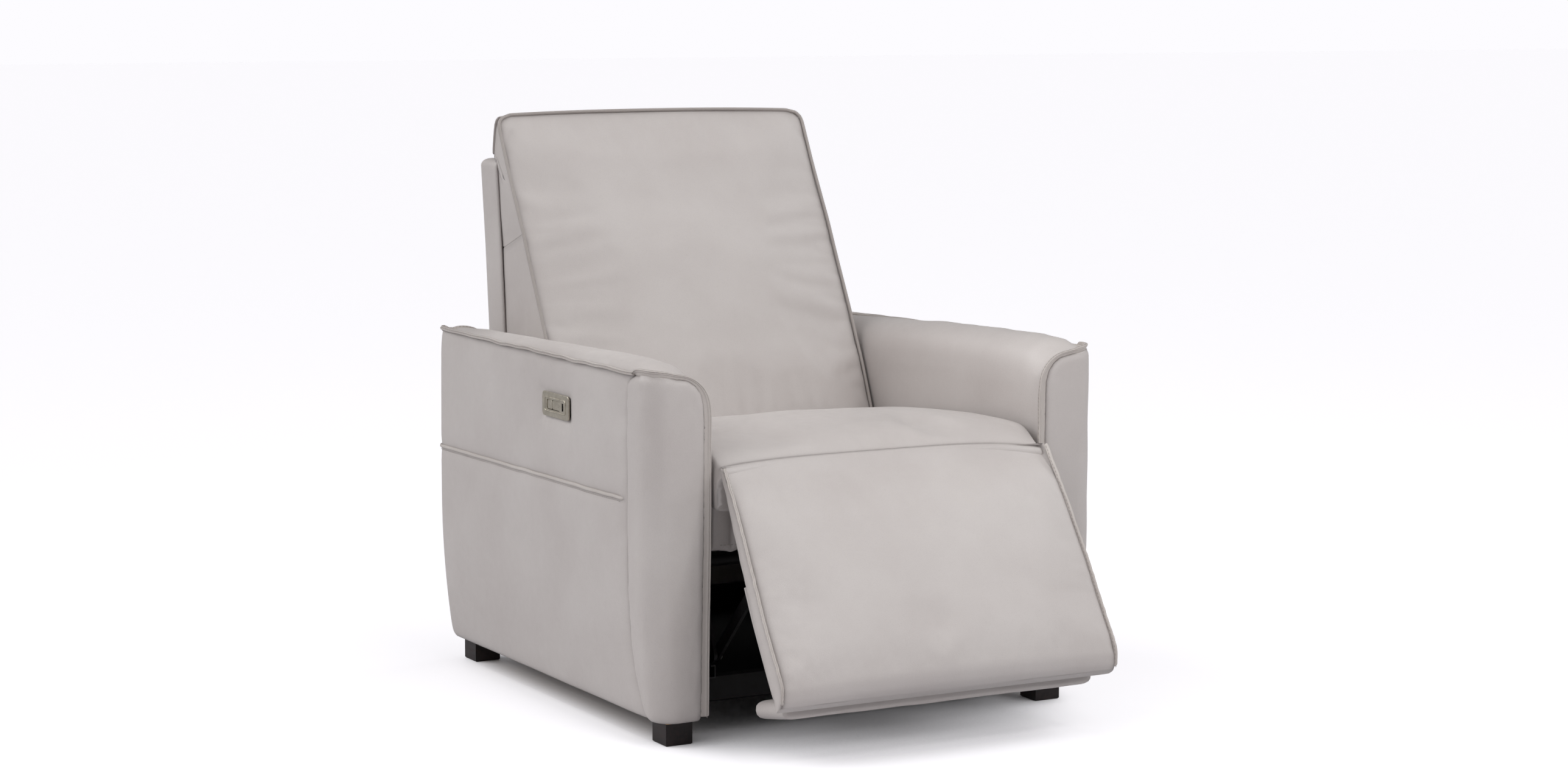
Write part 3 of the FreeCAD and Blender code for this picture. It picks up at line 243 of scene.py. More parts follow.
def strip(name, path, outwards, section, material):
    # sweeps a section given as (out, across) pairs along a path
    rows = []
    for i, point in enumerate(path):
        before = Vector(path[max(i - 1, 0)])
        after = Vector(path[min(i + 1, len(path) - 1)])
        along = (after - before).normalized()
        out = Vector(outwards[i])
        out = (out - along * out.dot(along)).normalized()
        across = along.cross(out)
        rows.append([Vector(point) + out * o + across * a for o, a in section])
    return closedPiece(name, rows, material)


def roundSection(outRadius, acrossRadius, count):
    turns = [2 * pi * i / count for i in range(count)]
    return [(outRadius * cos(turn), acrossRadius * sin(turn)) for turn in turns]


def runLengths(points):
    lengths = [0.0]
    for a, b in zip(points, points[1:]):
        lengths.append(lengths[-1] + (b - a).length)
    return lengths


def placesAt(points, lengths, wanted):
    axes = [np.interp(wanted, lengths, [p[k] for p in points]) for k in range(3)]
    return [Vector(p) for p in zip(*axes)]


def evenPath(points, step):
    # the same line with points a step apart
    points = [Vector(p) for p in points]
    lengths = runLengths(points)
    count = max(2, int(round(lengths[-1] / step)) + 1)
    return placesAt(points, lengths, [lengths[-1] * i / (count - 1) for i in range(count)])


def smoothLine(points):
    # a smooth line through a few points, with twelve steps from each to the next
    points = [Vector(p) for p in points]
    extended = [points[0] * 2 - points[1]] + points + [points[-1] * 2 - points[-2]]
    fine = []
    for a, b, c, d in zip(extended, extended[1:], extended[2:], extended[3:]):
        for k in range(12):
            t = k / 12
            fine.append(0.5 * (2 * b + (c - a) * t + (2 * a - 5 * b + 4 * c - d) * t * t
                               + (3 * b - a - 3 * c + d) * t ** 3))
    return fine + [points[-1]]


def curvedPath(points, step):
    return evenPath(smoothLine(points), step)


def placesOn(points, shares):
    # places on a smooth line through the points, at shares of its length
    fine = smoothLine(points)
    lengths = runLengths(fine)
    return placesAt(fine, lengths, [s * lengths[-1] for s in shares])


def nearLines(lines):
    # gives a function that measures how far a place is from the nearest of some lines
    marks = [p for line in lines for p in evenPath(line, 0.002)]
    tree = kdtree.KDTree(len(marks))
    for i, mark in enumerate(marks):
        tree.insert(mark, i)
    tree.balance()
    return lambda place: tree.find(place)[2]


def paintSeamShade(piece, lines, reach, strength):
    # darkens the leather in the fold beside a seam: painted shade, stored as an amount on each vertex
    distance = nearLines(lines)
    mesh = piece.data
    layer = mesh.attributes.get("paintedSeamShade") or mesh.attributes.new("paintedSeamShade", "FLOAT", "POINT")
    for vertex, value in zip(mesh.vertices, layer.data):
        value.value = max(value.value, strength * exp(-distance(vertex.co) / reach))


def dress(piece, body, replaced=(), fill=None):
    # a leather piece that rides a body, in place of the frame's own pieces where any are named
    if replaced:
        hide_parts(*replaced)
    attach(piece, body)


# Node trees

def setInputs(tree, node, inputs):
    # gives each input a value, or a link where it is another node's output
    for name, value in inputs.items():
        if isinstance(value, bpy.types.NodeSocket):
            tree.links.new(value, node.inputs[name])
        else:
            node.inputs[name].default_value = value


def addNode(tree, kind, inputs=None, **settings):
    node = tree.nodes.new(kind)
    for name, value in settings.items():
        setattr(node, name, value)
    setInputs(tree, node, inputs or {})
    return node


def newTree(name, sizes):
    # a geometry node tree with a geometry input, a number for each size and a material
    tree = bpy.data.node_groups.new(name, "GeometryNodeTree")
    tree.is_modifier = True
    tree.interface.new_socket("Guide", in_out="INPUT", socket_type="NodeSocketGeometry")
    for label, value in sizes.items():
        socket = tree.interface.new_socket(label, in_out="INPUT", socket_type="NodeSocketFloat")
        socket.default_value = value
    tree.interface.new_socket("Finish", in_out="INPUT", socket_type="NodeSocketMaterial")
    tree.interface.new_socket("Made", in_out="OUTPUT", socket_type="NodeSocketGeometry")
    return tree, tree.nodes.new("NodeGroupInput").outputs


def finishTree(tree, given, instances):
    solid = addNode(tree, "GeometryNodeRealizeInstances", {"Geometry": instances})
    finish = addNode(tree, "GeometryNodeSetMaterial",
                     {"Geometry": solid.outputs["Geometry"], "Material": given["Finish"]})
    addNode(tree, "NodeGroupOutput", {"Made": finish.outputs["Geometry"]})
    return tree


def stitchTree():
    # lays a short length of thread on each place along the seam lines
    tree, given = newTree("thread_stitches", {"Pitch": 0.0068, "Length": 0.0046, "Thickness": 0.0010})
    line = addNode(tree, "GeometryNodeMeshToCurve", {"Mesh": given["Guide"]})
    spaced = addNode(tree, "GeometryNodeResampleCurve",
                     {"Curve": line.outputs["Curve"], "Length": given["Pitch"]}, mode="LENGTH")
    bead = addNode(tree, "GeometryNodeMeshUVSphere", {"Segments": 6, "Rings": 4, "Radius": 0.5})
    tangent = addNode(tree, "GeometryNodeInputTangent")
    turned = addNode(tree, "FunctionNodeAlignRotationToVector",
                     {"Vector": tangent.outputs["Tangent"]}, axis="X")
    size = addNode(tree, "ShaderNodeCombineXYZ",
                   {"X": given["Length"], "Y": given["Thickness"], "Z": given["Thickness"]})
    laid = addNode(tree, "GeometryNodeInstanceOnPoints",
                   {"Points": spaced.outputs["Curve"], "Instance": bead.outputs["Mesh"],
                    "Rotation": turned.outputs["Rotation"], "Scale": size.outputs["Vector"]})
    return finishTree(tree, given, laid.outputs["Instances"])


def rivetTree():
    # a domed head on a washer at each point, its axis across the chair
    tree, given = newTree("rivet_heads", {"Radius": 0.0062, "Height": 0.0030, "Washer": 0.0088})
    dome = addNode(tree, "GeometryNodeMeshUVSphere", {"Segments": 14, "Rings": 8})
    washer = addNode(tree, "GeometryNodeMeshCylinder",
                     {"Vertices": 18, "Depth": 0.0016, "Radius": given["Washer"]})
    domeSize = addNode(tree, "ShaderNodeCombineXYZ",
                       {"X": given["Height"], "Y": given["Radius"], "Z": given["Radius"]})
    domeShape = addNode(tree, "GeometryNodeTransform",
                        {"Geometry": dome.outputs["Mesh"], "Scale": domeSize.outputs["Vector"]})
    washerShape = addNode(tree, "GeometryNodeTransform",
                          {"Rotation": (0, quarter, 0), "Geometry": washer.outputs["Mesh"]})
    both = addNode(tree, "GeometryNodeJoinGeometry")
    for shape in (domeShape, washerShape):
        setInputs(tree, both, {"Geometry": shape.outputs["Geometry"]})
    laid = addNode(tree, "GeometryNodeInstanceOnPoints",
                   {"Points": given["Guide"], "Instance": both.outputs["Geometry"]})
    return finishTree(tree, given, laid.outputs["Instances"])


def madeByNodes(name, guides, tree, finish):
    # one plain mesh from the tree, laid along guide lines or on single guide points
    vertices, edges = [], []
    for guide in guides:
        start = len(vertices)
        vertices += [tuple(p) for p in guide]
        edges += [(i, i + 1) for i in range(start, len(vertices) - 1)]
    mesh = bpy.data.meshes.new(name)
    mesh.from_pydata(vertices, edges, [])
    piece = bpy.data.objects.new(name, mesh)
    scene.collection.objects.link(piece)
    maker = piece.modifiers.new("maker", "NODES")
    maker.node_group = tree
    for item in tree.interface.items_tree:
        if item.in_out == "INPUT" and item.name == "Finish":
            maker[item.identifier] = finish
    settle(piece)
    piece.data.polygons.foreach_set("use_smooth", [True] * len(piece.data.polygons))
    return piece


# Materials, all on Object coordinates

def newMaterial(name):
    material = bpy.data.materials.new(name)
    material.use_nodes = True
    tree = material.node_tree
    place = tree.nodes.new("ShaderNodeTexCoord")
    return material, tree, tree.nodes["Principled BSDF"], place.outputs["Object"]


def addNoise(tree, place, scale, detail, rough=0.5):
    cloud = addNode(tree, "ShaderNodeTexNoise",
                    {"Scale": scale, "Detail": detail, "Roughness": rough, "Vector": place})
    return cloud.outputs["Fac"]


def addRamp(tree, factor, low, high):
    # a ramp between two (position, colour) stops
    ramp = addNode(tree, "ShaderNodeValToRGB", {"Fac": factor})
    for element, (position, colour) in zip(ramp.color_ramp.elements, (low, high)):
        element.position = position
        element.color = (*colour, 1)
    return ramp.outputs["Color"]


def addRange(tree, factor, low, high, fromLow=0.3, fromHigh=0.7):
    span = addNode(tree, "ShaderNodeMapRange", {"From Min": fromLow, "From Max": fromHigh, "To Min": low,
                                                "To Max": high, "Value": factor})
    return span.outputs["Result"]


def addBump(tree, height, distance, strength, before=None):
    bump = addNode(tree, "ShaderNodeBump", {"Strength": strength, "Distance": distance, "Height": height})
    if before is not None:
        setInputs(tree, bump, {"Normal": before})
    return bump.outputs["Normal"]


def addMultiply(tree, factor, colour, by):
    product = addNode(tree, "ShaderNodeMix", data_type="RGBA", blend_type="MULTIPLY")
    setInputs(tree, product, {"Factor": factor, "A": colour, "B": by})
    return product.outputs["Result"]


def fromScreen(colour):
    # a colour as it reads on a screen, made linear
    shares = [v / 255 for v in colour]
    return tuple(v / 12.92 if v <= 0.04045 else ((v + 0.055) / 1.055) ** 2.4 for v in shares)


def leatherFinish(name, light, dark, grain=780.0):
    material, tree, shader, place = newMaterial(name)
    blotch = addNoise(tree, place, 5.0, 4.0, 0.55)
    colour = addRamp(tree, blotch, (0.3, fromScreen(dark)), (0.7, fromScreen(light)))
    pores = addNode(tree, "ShaderNodeTexVoronoi", {"Scale": grain, "Vector": place},
                    feature="DISTANCE_TO_EDGE")
    grainHeight = addRange(tree, pores.outputs["Distance"], 0.0, 1.0, 0.0, 0.22)
    poreShade = addRamp(tree, grainHeight, (0.0, (0.72, 0.7, 0.7)), (0.5, (1, 1, 1)))
    pored = addMultiply(tree, 0.35, colour, poreShade)
    # painted shade: the seam shade amount on a piece darkens the base colour towards this dark grey beside
    # its seams
    seam = addNode(tree, "ShaderNodeAttribute", attribute_name="paintedSeamShade")
    fine = addBump(tree, grainHeight, 0.00018, 0.55)
    creased = addBump(tree, addNoise(tree, place, 95.0, 5.0, 0.65), 0.0006, 0.35, fine)
    setInputs(tree, shader, {
        "Base Color": addMultiply(tree, seam.outputs["Fac"], pored, (0.22, 0.19, 0.19, 1)),
        "Roughness": addRange(tree, addNoise(tree, place, 60.0, 3.0), 0.31, 0.42),
        "Normal": addBump(tree, addNoise(tree, place, 14.0, 2.0), 0.003, 0.25, creased),
        "Specular IOR Level": 0.5, "Sheen Weight": 0.12, "Sheen Roughness": 0.5,
    })
    return material


def clothFinish(name, light, dark, threads):
    material, tree, shader, place = newMaterial(name)
    weave = addNode(tree, "ShaderNodeTexChecker", {"Scale": threads, "Color1": (*fromScreen(light), 1),
                                                   "Color2": (*fromScreen(dark), 1), "Vector": place})
    setInputs(tree, shader, {"Base Color": weave.outputs["Color"], "Roughness": 0.95,
                             "Normal": addBump(tree, weave.outputs["Fac"], 0.0003, 0.6)})
    return material


def woodFinish(name, light, dark, rings, gloss):
    material, tree, shader, place = newMaterial(name)
    lengthwise = addNode(tree, "ShaderNodeMapping", {"Scale": (rings, rings * 0.12, rings), "Vector": place})
    grain = addNoise(tree, lengthwise.outputs["Vector"], 6.0, 5.0, 0.6)
    setInputs(tree, shader, {
        "Base Color": addRamp(tree, grain, (0.35, fromScreen(dark)), (0.65, fromScreen(light))),
        "Roughness": addRange(tree, grain, gloss - 0.08, gloss + 0.08),
        "Normal": addBump(tree, grain, 0.0004, 0.3),
    })
    return material


def metalFinish(name, light, dark, metallic, gloss, scratch=240.0):
    material, tree, shader, place = newMaterial(name)
    smear = addNoise(tree, place, scratch * 0.2, 4.0, 0.6)
    setInputs(tree, shader, {
        "Base Color": addRamp(tree, smear, (0.3, fromScreen(dark)), (0.7, fromScreen(light))),
        "Roughness": addRange(tree, addNoise(tree, place, scratch, 3.0), gloss - 0.07, gloss + 0.09),
        "Normal": addBump(tree, addNoise(tree, place, scratch * 2, 2.0), 0.0001, 0.35),
        "Metallic": metallic,
    })
    return material


leather = leatherFinish("greige_leather", (199, 193, 190), (190, 183, 180))
weltLeather = leatherFinish("welt_leather", (200, 193, 188), (188, 180, 175), 980.0)
thread = clothFinish("seam_thread", (176, 168, 164), (156, 147, 143), 2600.0)
liner = clothFinish("black_liner", (30, 29, 30), (12, 12, 13), 900.0)
timber = woodFinish("raw_timber", (205, 172, 128), (168, 130, 88), 9.0, 0.7)
espresso = woodFinish("espresso_wood", (38, 26, 26), (17, 11, 12), 22.0, 0.42)
blackTimber = woodFinish("black_timber", (22, 19, 20), (10, 8, 9), 14.0, 0.75)
blackSteel = metalFinish("black_steel", (30, 28, 29), (12, 11, 12), 0.0, 0.5)
zincSteel = metalFinish("zinc_steel", (190, 190, 188), (140, 142, 144), 1.0, 0.36)
blackPlastic = metalFinish("black_plastic", (30, 30, 31), (18, 18, 19), 0.0, 0.5, 420.0)
nickel = metalFinish("brushed_nickel", (196, 190, 176), (170, 163, 148), 0.85, 0.34, 520.0)
portShell = metalFinish("port_shell", (150, 150, 150), (110, 112, 114), 1.0, 0.3)
print("materials ready")


# Arms

arm = {
    "side": 0.430, "sideLow": 0.411, "taperTop": 0.300, "skinLow": 0.044, "footTuck": 0.006,
    "edgeTop": 0.617, "innerLowX": 0.337, "innerLowZ": 0.063, "depth": 0.857, "corner": 0.034,
    "middle": (0.38, 0, 0.35), "sideStart": 0.048,
    # for the spacing of the points: the side's start and length, and the share of the way over the arm
    # from which the inner face is plain
    "sideFrom": 0.078, "sideRun": 0.78, "innerShare": 0.34,
    "rearCorner": 0.022, "rearRound": 0.012, "rearLap": 0.003, "rearInner": 0.335,
    "thick": 0.0035, "fill": 0.9, "liningTop": 0.330, "liningFront": 0.040,
    # how far the left arm's top sinks along it, growing over a height above this one
    "sagFrom": 0.46, "sagOver": 0.13,
    "leftSag": [(0.35, 0.0), (0.50, 0.004), (0.63, 0.007), (0.77, 0.011), (0.86, 0.015)],
    # the upright seam on the side, as height and depth
    "seam": [(0.044, 0.048), (0.080, 0.060), (0.148, 0.073), (0.328, 0.077), (0.598, 0.078), (0.608, 0.068),
             (0.617, 0.048)],
    # the crest's height along the arm
    "crest": [(-0.001, 0.619), (0.02, 0.626), (0.06, 0.633), (0.12, 0.636), (0.25, 0.634), (0.50, 0.628),
              (0.75, 0.621), (0.857, 0.615)],
    # over the arm from the side to the inner face: at its front, and as drops from the crest further back
    "frontTop": [(0.430, 0.6185), (0.415, 0.6175), (0.390, 0.6145), (0.368, 0.610), (0.352, 0.602),
                 (0.341, 0.591), (0.334, 0.574), (0.3305, 0.555), (0.329, 0.530), (0.3285, 0.500)],
    "bodyTop": [(0.415, 0.004), (0.395, 0.0), (0.375, 0.001), (0.358, 0.006), (0.343, 0.016), (0.333, 0.030),
                (0.3275, 0.048), (0.3255, 0.068), (0.325, 0.090)],
    "blendDepth": 0.06,
    # the front pillow's upper edge and the flange that stands along it, as base and tip
    "pillowTop": [(0.332, 0.540), (0.333, 0.566), (0.338, 0.585), (0.349, 0.600), (0.363, 0.6085),
                  (0.390, 0.6135), (0.420, 0.6175), (0.430, 0.6185)],
    "flangeTip": [(0.318, 0.545), (0.3215, 0.574), (0.331, 0.594), (0.347, 0.609), (0.365, 0.6165),
                  (0.390, 0.6215), (0.420, 0.6275), (0.430, 0.6285)],
    "pillowIn": 0.332, "pillowStand": 0.0065, "pillowRoll": 0.013,
    "ridgeFront": 0.408, "ridgeMiddle": 0.404, "ridgeRear": 0.401, "ridgeStart": 0.092,
    "bulge": 0.005, "roll": 0.012, "seamDepth": 0.0045, "weltReach": 0.0085, "weltHalf": 0.0034,
}
switch = {"depth": 0.352, "height": 0.531, "halfLength": 0.052, "halfTall": 0.021,
          "holeLength": 0.0475, "holeTall": 0.0175, "dimple": 0.0035, "dimpleReach": 0.016}
stitchLines = {"base": [], "seat": [], "footrest": []}


def sideAt(z):
    if z >= arm["taperTop"]:
        return arm["side"]
    share = (arm["taperTop"] - z) / (arm["taperTop"] - arm["skinLow"])
    return arm["side"] - (arm["side"] - arm["sideLow"]) * share * share


def innerAt(z):
    return mix(arm["innerLowX"], arm["pillowIn"], smooth((z - arm["innerLowZ"]) / 0.4))


def tuckAt(z):
    # how far the leather draws in towards its lower edge
    return (1 - rollIn(z - arm["skinLow"], 0.006)) * arm["footTuck"]


def seamDepthAt(z):
    return readTable(arm["seam"], z)


def ridgeAt(depth):
    return mix(arm["ridgeFront"], arm["ridgeRear"], depth / arm["depth"])


def sideOffset(depth, z, side):
    # how far the padded side stands out from the flat line at a place
    fromSeam = depth - seamDepthAt(z)
    fromTop = arm["edgeTop"] - z
    fromFoot = z - arm["skinLow"]
    rolled = rollIn(fromSeam, arm["roll"]) * rollIn(fromTop + 0.002, arm["roll"])
    out = -arm["seamDepth"] + (arm["seamDepth"] + arm["bulge"] * 0.35) * rolled
    out += arm["bulge"] * 0.65 * sin(pi * min(max(fromFoot / 0.56, 0), 1)) ** 0.7
    fromRidge = z - ridgeAt(depth)
    start = smooth((depth - arm["ridgeStart"]) / 0.02)
    out -= 0.0026 * start * exp(-(fromRidge / 0.012) ** 2)
    out += 0.0010 * wave(depth, 0.0, z, 0.11, 3.0 + side)
    out += 0.0024 * wave(depth, 0.0, z * 1.6, 0.036, 8.0 + side) * exp(-fromTop / 0.030)
    out += 0.0018 * wave(depth * 0.7, 0.0, z * 1.3, 0.036, 14.0 + side) * exp(-max(fromSeam, 0.0) / 0.03)
    out += 0.0008 * wave(depth, 0.0, z * 1.5, 0.03, 21.0 + side) * exp(-abs(fromRidge) / 0.02)
    if side < 0:
        across = max(abs(depth - switch["depth"]) - switch["halfLength"], 0.0)
        up = max(abs(z - switch["height"]) - switch["halfTall"], 0.0)
        beside = hypot(across, up)
        out -= (out + switch["dimple"] - 0.0008) * exp(-(beside / switch["dimpleReach"]) ** 1.3)
        out += 0.0009 * wave(depth * 1.4, 0.0, z, 0.016, 40.0) * exp(-beside / 0.018)
    return out


def sideSeamLine(side):
    heights = spread(arm["skinLow"], arm["edgeTop"], 0.004)
    return [atDepth(side * sideAt(z), seamDepthAt(z), z) for z in heights]


def topSeamLine(side):
    depths = spread(arm["sideStart"], arm["depth"], 0.01)
    return [atDepth(side * arm["side"], depth, arm["edgeTop"]) for depth in depths]


def ridgeLine(side):
    depths = spread(arm["ridgeStart"], arm["depth"] - arm["rearCorner"], 0.01)
    return [atDepth(side * (arm["side"] + 0.001), depth, ridgeAt(depth)) for depth in depths]


def pillowLine(side):
    # the front pillow's edge, up its inner side and over its top to the upright seam
    places = [(innerAt(z), 0.0, z) for z in spread(arm["skinLow"], arm["pillowTop"][0][1], 0.01)]
    places += [(x, cornerIn(arm["side"] - x, arm["corner"]), z) for x, z in arm["pillowTop"][1:]]
    flat = spread(arm["corner"], arm["sideStart"], 0.005)
    places += [(arm["side"], depth, arm["edgeTop"]) for depth in flat]
    return [atDepth(side * x, depth, z) for x, depth, z in places]


def rearTopAt(x):
    # the height of the arm's rear edge across it
    crest = arm["crest"][-1][1]
    table = [(px, crest - drop - 0.0015) for px, drop in reversed(arm["bodyTop"])]
    return readTable(table + [(arm["side"], arm["edgeTop"])], x)


def sunk(point, side):
    # the left arm's top sinks a little towards the rear
    if side < 0:
        return point
    drop = readTable(arm["leftSag"], point.y - armFrontY)
    return point - Vector((0, 0, drop * smooth((point.z - arm["sagFrom"]) / arm["sagOver"])))


def sagged(piece, side):
    for vertex in piece.data.vertices:
        vertex.co = sunk(vertex.co, side)
    return piece


def clearOfSwitch(centre):
    return not (abs(centre.y - armFrontY - switch["depth"]) < switch["holeLength"]
                and abs(centre.z - switch["height"]) < switch["holeTall"])


def sideCover(side):
    low, top, corner = arm["skinLow"], arm["edgeTop"], arm["rearCorner"]
    end = arm["depth"] - corner
    fineHeights, fineShares = [low, arm["ridgeMiddle"], top], [0.0]
    for sign in (-1, 1):
        fineHeights.append(switch["height"] + sign * switch["halfTall"])
        plateEnd = switch["depth"] + sign * switch["halfLength"]
        fineShares.append((plateEnd - arm["sideFrom"]) / arm["sideRun"])
    shares = spreadAround(0.0, 1.0, 0.013, fineShares, 0.0036, 0.02)
    rows = []
    for z in spreadAround(low, top, 0.012, fineHeights, 0.0028, 0.008):
        flat = sideAt(z) - tuckAt(z)
        topCut = smooth((z - (top - 0.02)) / 0.02) * 0.003
        depths = [mix(seamDepthAt(z), end, share) for share in shares]
        row = [atDepth(side * (flat + sideOffset(depth, z, side)), depth, z) for depth in depths]
        # round the rear corner, across the rear and a little in
        lastX = flat + sideOffset(end, z, side) * 0.6 - corner
        for turn in quarterTurns(8):
            x = lastX + corner * cos(turn)
            row.append(atDepth(side * x, end + (corner - topCut) * sin(turn), z))
        for k in range(1, 11):
            x = mix(lastX, arm["rearInner"], k / 10)
            height = low + (z - low) * (rearTopAt(x) - low) / (top - low)
            depth = end + corner - topCut + 0.0015 * sin(pi * k / 10)
            row.append(atDepth(side * x, depth, height))
        row.append(atDepth(side * arm["rearInner"], end + corner - 0.012, height))
        rows.append(row)
    piece = coverPiece(sideNames[side] + "_arm_side_cover", rows, leather, atDepth(side * 0.36, 0.45, 0.35),
                       arm["thick"], clearOfSwitch if side < 0 else None)
    # painted shade beside the side's seams and along its raised ridge
    paintSeamShade(piece, [sideSeamLine(side), topSeamLine(side)], 0.0022, 1.0)
    paintSeamShade(piece, [ridgeLine(side)], 0.0030, 0.7)
    return sagged(piece, side)


def frontOutline(share, z):
    # the arm's front path at a height, from the inner edge round the outer corner to the side seam
    inner, outer, corner = innerAt(z), sideAt(z), arm["corner"]
    seam = max(seamDepthAt(z), corner + 0.001)
    flat = outer - corner - inner
    turn = corner * quarter
    run = share * (flat + turn + seam - corner)
    if run <= flat:
        return inner + run, 0.0, (0.0, -1.0)
    if run <= flat + turn:
        angle = (run - flat) / corner
        return (outer - corner + corner * sin(angle), corner - corner * cos(angle),
                (sin(angle), -cos(angle)))
    return outer, corner + run - flat - turn, (1.0, 0.0)


def frontCover(side):
    edgeLines = [pillowLine(side), sideSeamLine(side)]
    fromEdge = nearLines(edgeLines)
    steps = spreadAround(0.0, 1.0, 0.018, [0.0, 1.0], 0.005, 0.05)
    columns = []
    for share in spreadAround(0.0, 1.0, 0.04, [0.0, 1.0], 0.008, 0.07):
        column = []
        top = 0.6
        for _ in range(8):
            top = mix(top, readTable(arm["pillowTop"], frontOutline(share, top)[0]), 0.7)
        for step in steps:
            z = mix(arm["skinLow"], top, step)
            x, depth, out = frontOutline(share, z)
            distance = fromEdge(atDepth(side * x, depth, z))
            roll = 1 - min(distance / arm["pillowRoll"], 1.0)
            bulge = -0.001 + arm["pillowStand"] * sqrt(max(1 - roll * roll, 0.0))
            bulge += 0.002 * rollIn(distance, 0.04) - tuckAt(z)
            bulge += 0.0012 * wave(x * side, depth, z, 0.09, 12.0)
            bulge += 0.0015 * wave(x * side * 2.5, depth, z * 1.4, 0.03, 31.0) * exp(-distance / 0.022)
            column.append(atDepth(side * (x + out[0] * bulge), depth + out[1] * bulge, z))
        columns.append(column)
    piece = coverPiece(sideNames[side] + "_arm_front_cover", columns, leather,
                       atDepth(side * 0.38, 0.3, 0.3), arm["thick"])
    # painted shade round the front pillow's edge
    paintSeamShade(piece, edgeLines, 0.0024, 1.0)
    return piece


def overArm(depth):
    # (x, z) points over the arm at a depth, from the side welt to the inner lower edge
    crest = readTable(arm["crest"], depth)
    share = smooth(depth / arm["blendDepth"])
    body = [(arm["side"], arm["edgeTop"])] + [(x, crest - drop) for x, drop in arm["bodyTop"]]
    points = [(mix(f[0], b[0], share), mix(f[1], b[1], share)) for f, b in zip(arm["frontTop"], body)]
    lastX, lastZ = points[-1]
    for t in (0.3, 0.6, 0.9, 1.0):
        points.append((mix(lastX, arm["innerLowX"], t), mix(lastZ, arm["innerLowZ"], t)))
    narrow = cornerIn(depth, arm["corner"]) + cornerIn(arm["depth"] - depth, arm["rearCorner"] + 0.004)
    flatX = arm["side"] - arm["corner"] * 1.4

    def drawnIn(x):
        if x < flatX:
            return x
        return mix(flatX, arm["side"] - narrow, (x - flatX) / (arm["side"] - flatX))

    return [(drawnIn(x), z) for x, z in points]


def aboveLining(centre):
    return centre.z > arm["liningTop"] - 0.012 or centre.y - armFrontY < arm["liningFront"] + 0.012


def topCover(side):
    shares = spreadAround(0.0, arm["innerShare"], 0.013, [0.0], 0.004, 0.02)
    shares += spreadAround(arm["innerShare"], 1.0, 0.035, [1.0], 0.012, 0.03)[1:]
    rearRound = arm["rearRound"]
    rearStart = arm["depth"] - rearRound - arm["rearLap"]
    depths = [(d, 0.0) for d in spreadAround(0.001, rearStart, 0.014, [0.0, arm["depth"]], 0.004, 0.02)]
    for turn in quarterTurns(5):
        depths.append((rearStart + rearRound * sin(turn), rearRound * (1 - cos(turn))))
    depths.append((rearStart + rearRound - 0.004, 0.02))
    rows = []
    for depth, drop in depths:
        line = placesOn([Vector((x, 0, z)) for x, z in overArm(depth)], shares)
        row = []
        for i, point in enumerate(line):
            run = line[min(i + 1, len(line) - 1)] - line[max(i - 1, 0)]
            out = Vector((run.z, 0, -run.x)).normalized()
            if out.dot(point - Vector(arm["middle"])) < 0:
                out = -out
            x, z = point.x, point.z
            fromSide = arm["side"] - x
            flatShare = sin(pi * min(max((z - 0.063) / 0.48, 0), 1))
            tuft = exp(-fromSide / 0.024) * rollIn(fromSide, 0.004)
            bulge = -0.003 + 0.003 * rollIn(depth, 0.012) + 0.0035 * flatShare * rollIn(depth, 0.03)
            bulge += 0.0013 * wave(x * side, depth, z, 0.10, 50.0) * rollIn(fromSide, 0.01)
            bulge += 0.0030 * wave(x * side, depth * 1.2, z, 0.034, 61.0) * tuft
            bulge += 0.0018 * wave(x * side, depth, z * 1.3, 0.028, 66.0) * exp(-depth / 0.025)
            inward = out.x * drop * smooth((fromSide - 0.012) / 0.03)
            row.append(atDepth(side * (x + out.x * bulge - inward), depth, z + out.z * (bulge - drop)))
        rows.append(row)
    piece = coverPiece(sideNames[side] + "_arm_top_cover", rows, leather, atDepth(side * 0.38, 0.45, 0.45),
                       arm["thick"], aboveLining)
    # painted shade beside the top's seams
    paintSeamShade(piece, [topSeamLine(side), pillowLine(side)], 0.0026, 1.0)
    return sagged(piece, side)


# two leather edges sewn together, as (share of the reach, share of the half thickness) up one face
lipFace = [(-0.25, 0.5), (0.06, 0.5), (0.40, 0.5), (0.50, 0.62), (0.60, 0.95), (0.68, 0.95), (0.745, 0.45),
           (0.81, 0.95), (0.90, 1.0), (0.98, 0.7)]
plainLip = [(-0.25, 0.9), (0.3, 1.0), (0.72, 0.98), (0.95, 0.78), (1.0, 0.45), (0.80, 0.06)]


def lipSides(bases, tips):
    # the direction across a sewn lip at each of its places
    sides = []
    for i, (base, tip) in enumerate(zip(bases, tips)):
        along = (bases[min(i + 1, len(bases) - 1)] - bases[max(i - 1, 0)]).normalized()
        sides.append(along.cross((tip - base).normalized()))
    return sides


def lipStrip(name, bases, tips, half, face):
    # a sewn flange standing from its bases to its tips
    section = face + [(share, -across) for share, across in reversed(face)]
    rows = []
    for base, tip, across in zip(bases, tips, lipSides(bases, tips)):
        rows.append([base + (tip - base) * share + across * (half * thick) for share, thick in section])
    return closedPiece(name, rows, weltLeather)


def besideLip(bases, tips, share, off):
    # a line beside a sewn lip, at a share of its reach
    places = zip(bases, tips, lipSides(bases, tips))
    return [base.lerp(tip, share) + across * off for base, tip, across in places]


def besidePath(bases, tips, step):
    # base and tip places side by side, evenly spaced along the bases
    fineBases, fineTips = smoothLine(bases), smoothLine(tips)
    lengths = runLengths(fineBases)
    wanted = spread(0.0, lengths[-1], step)
    return placesAt(fineBases, lengths, wanted), placesAt(fineTips, lengths, wanted)


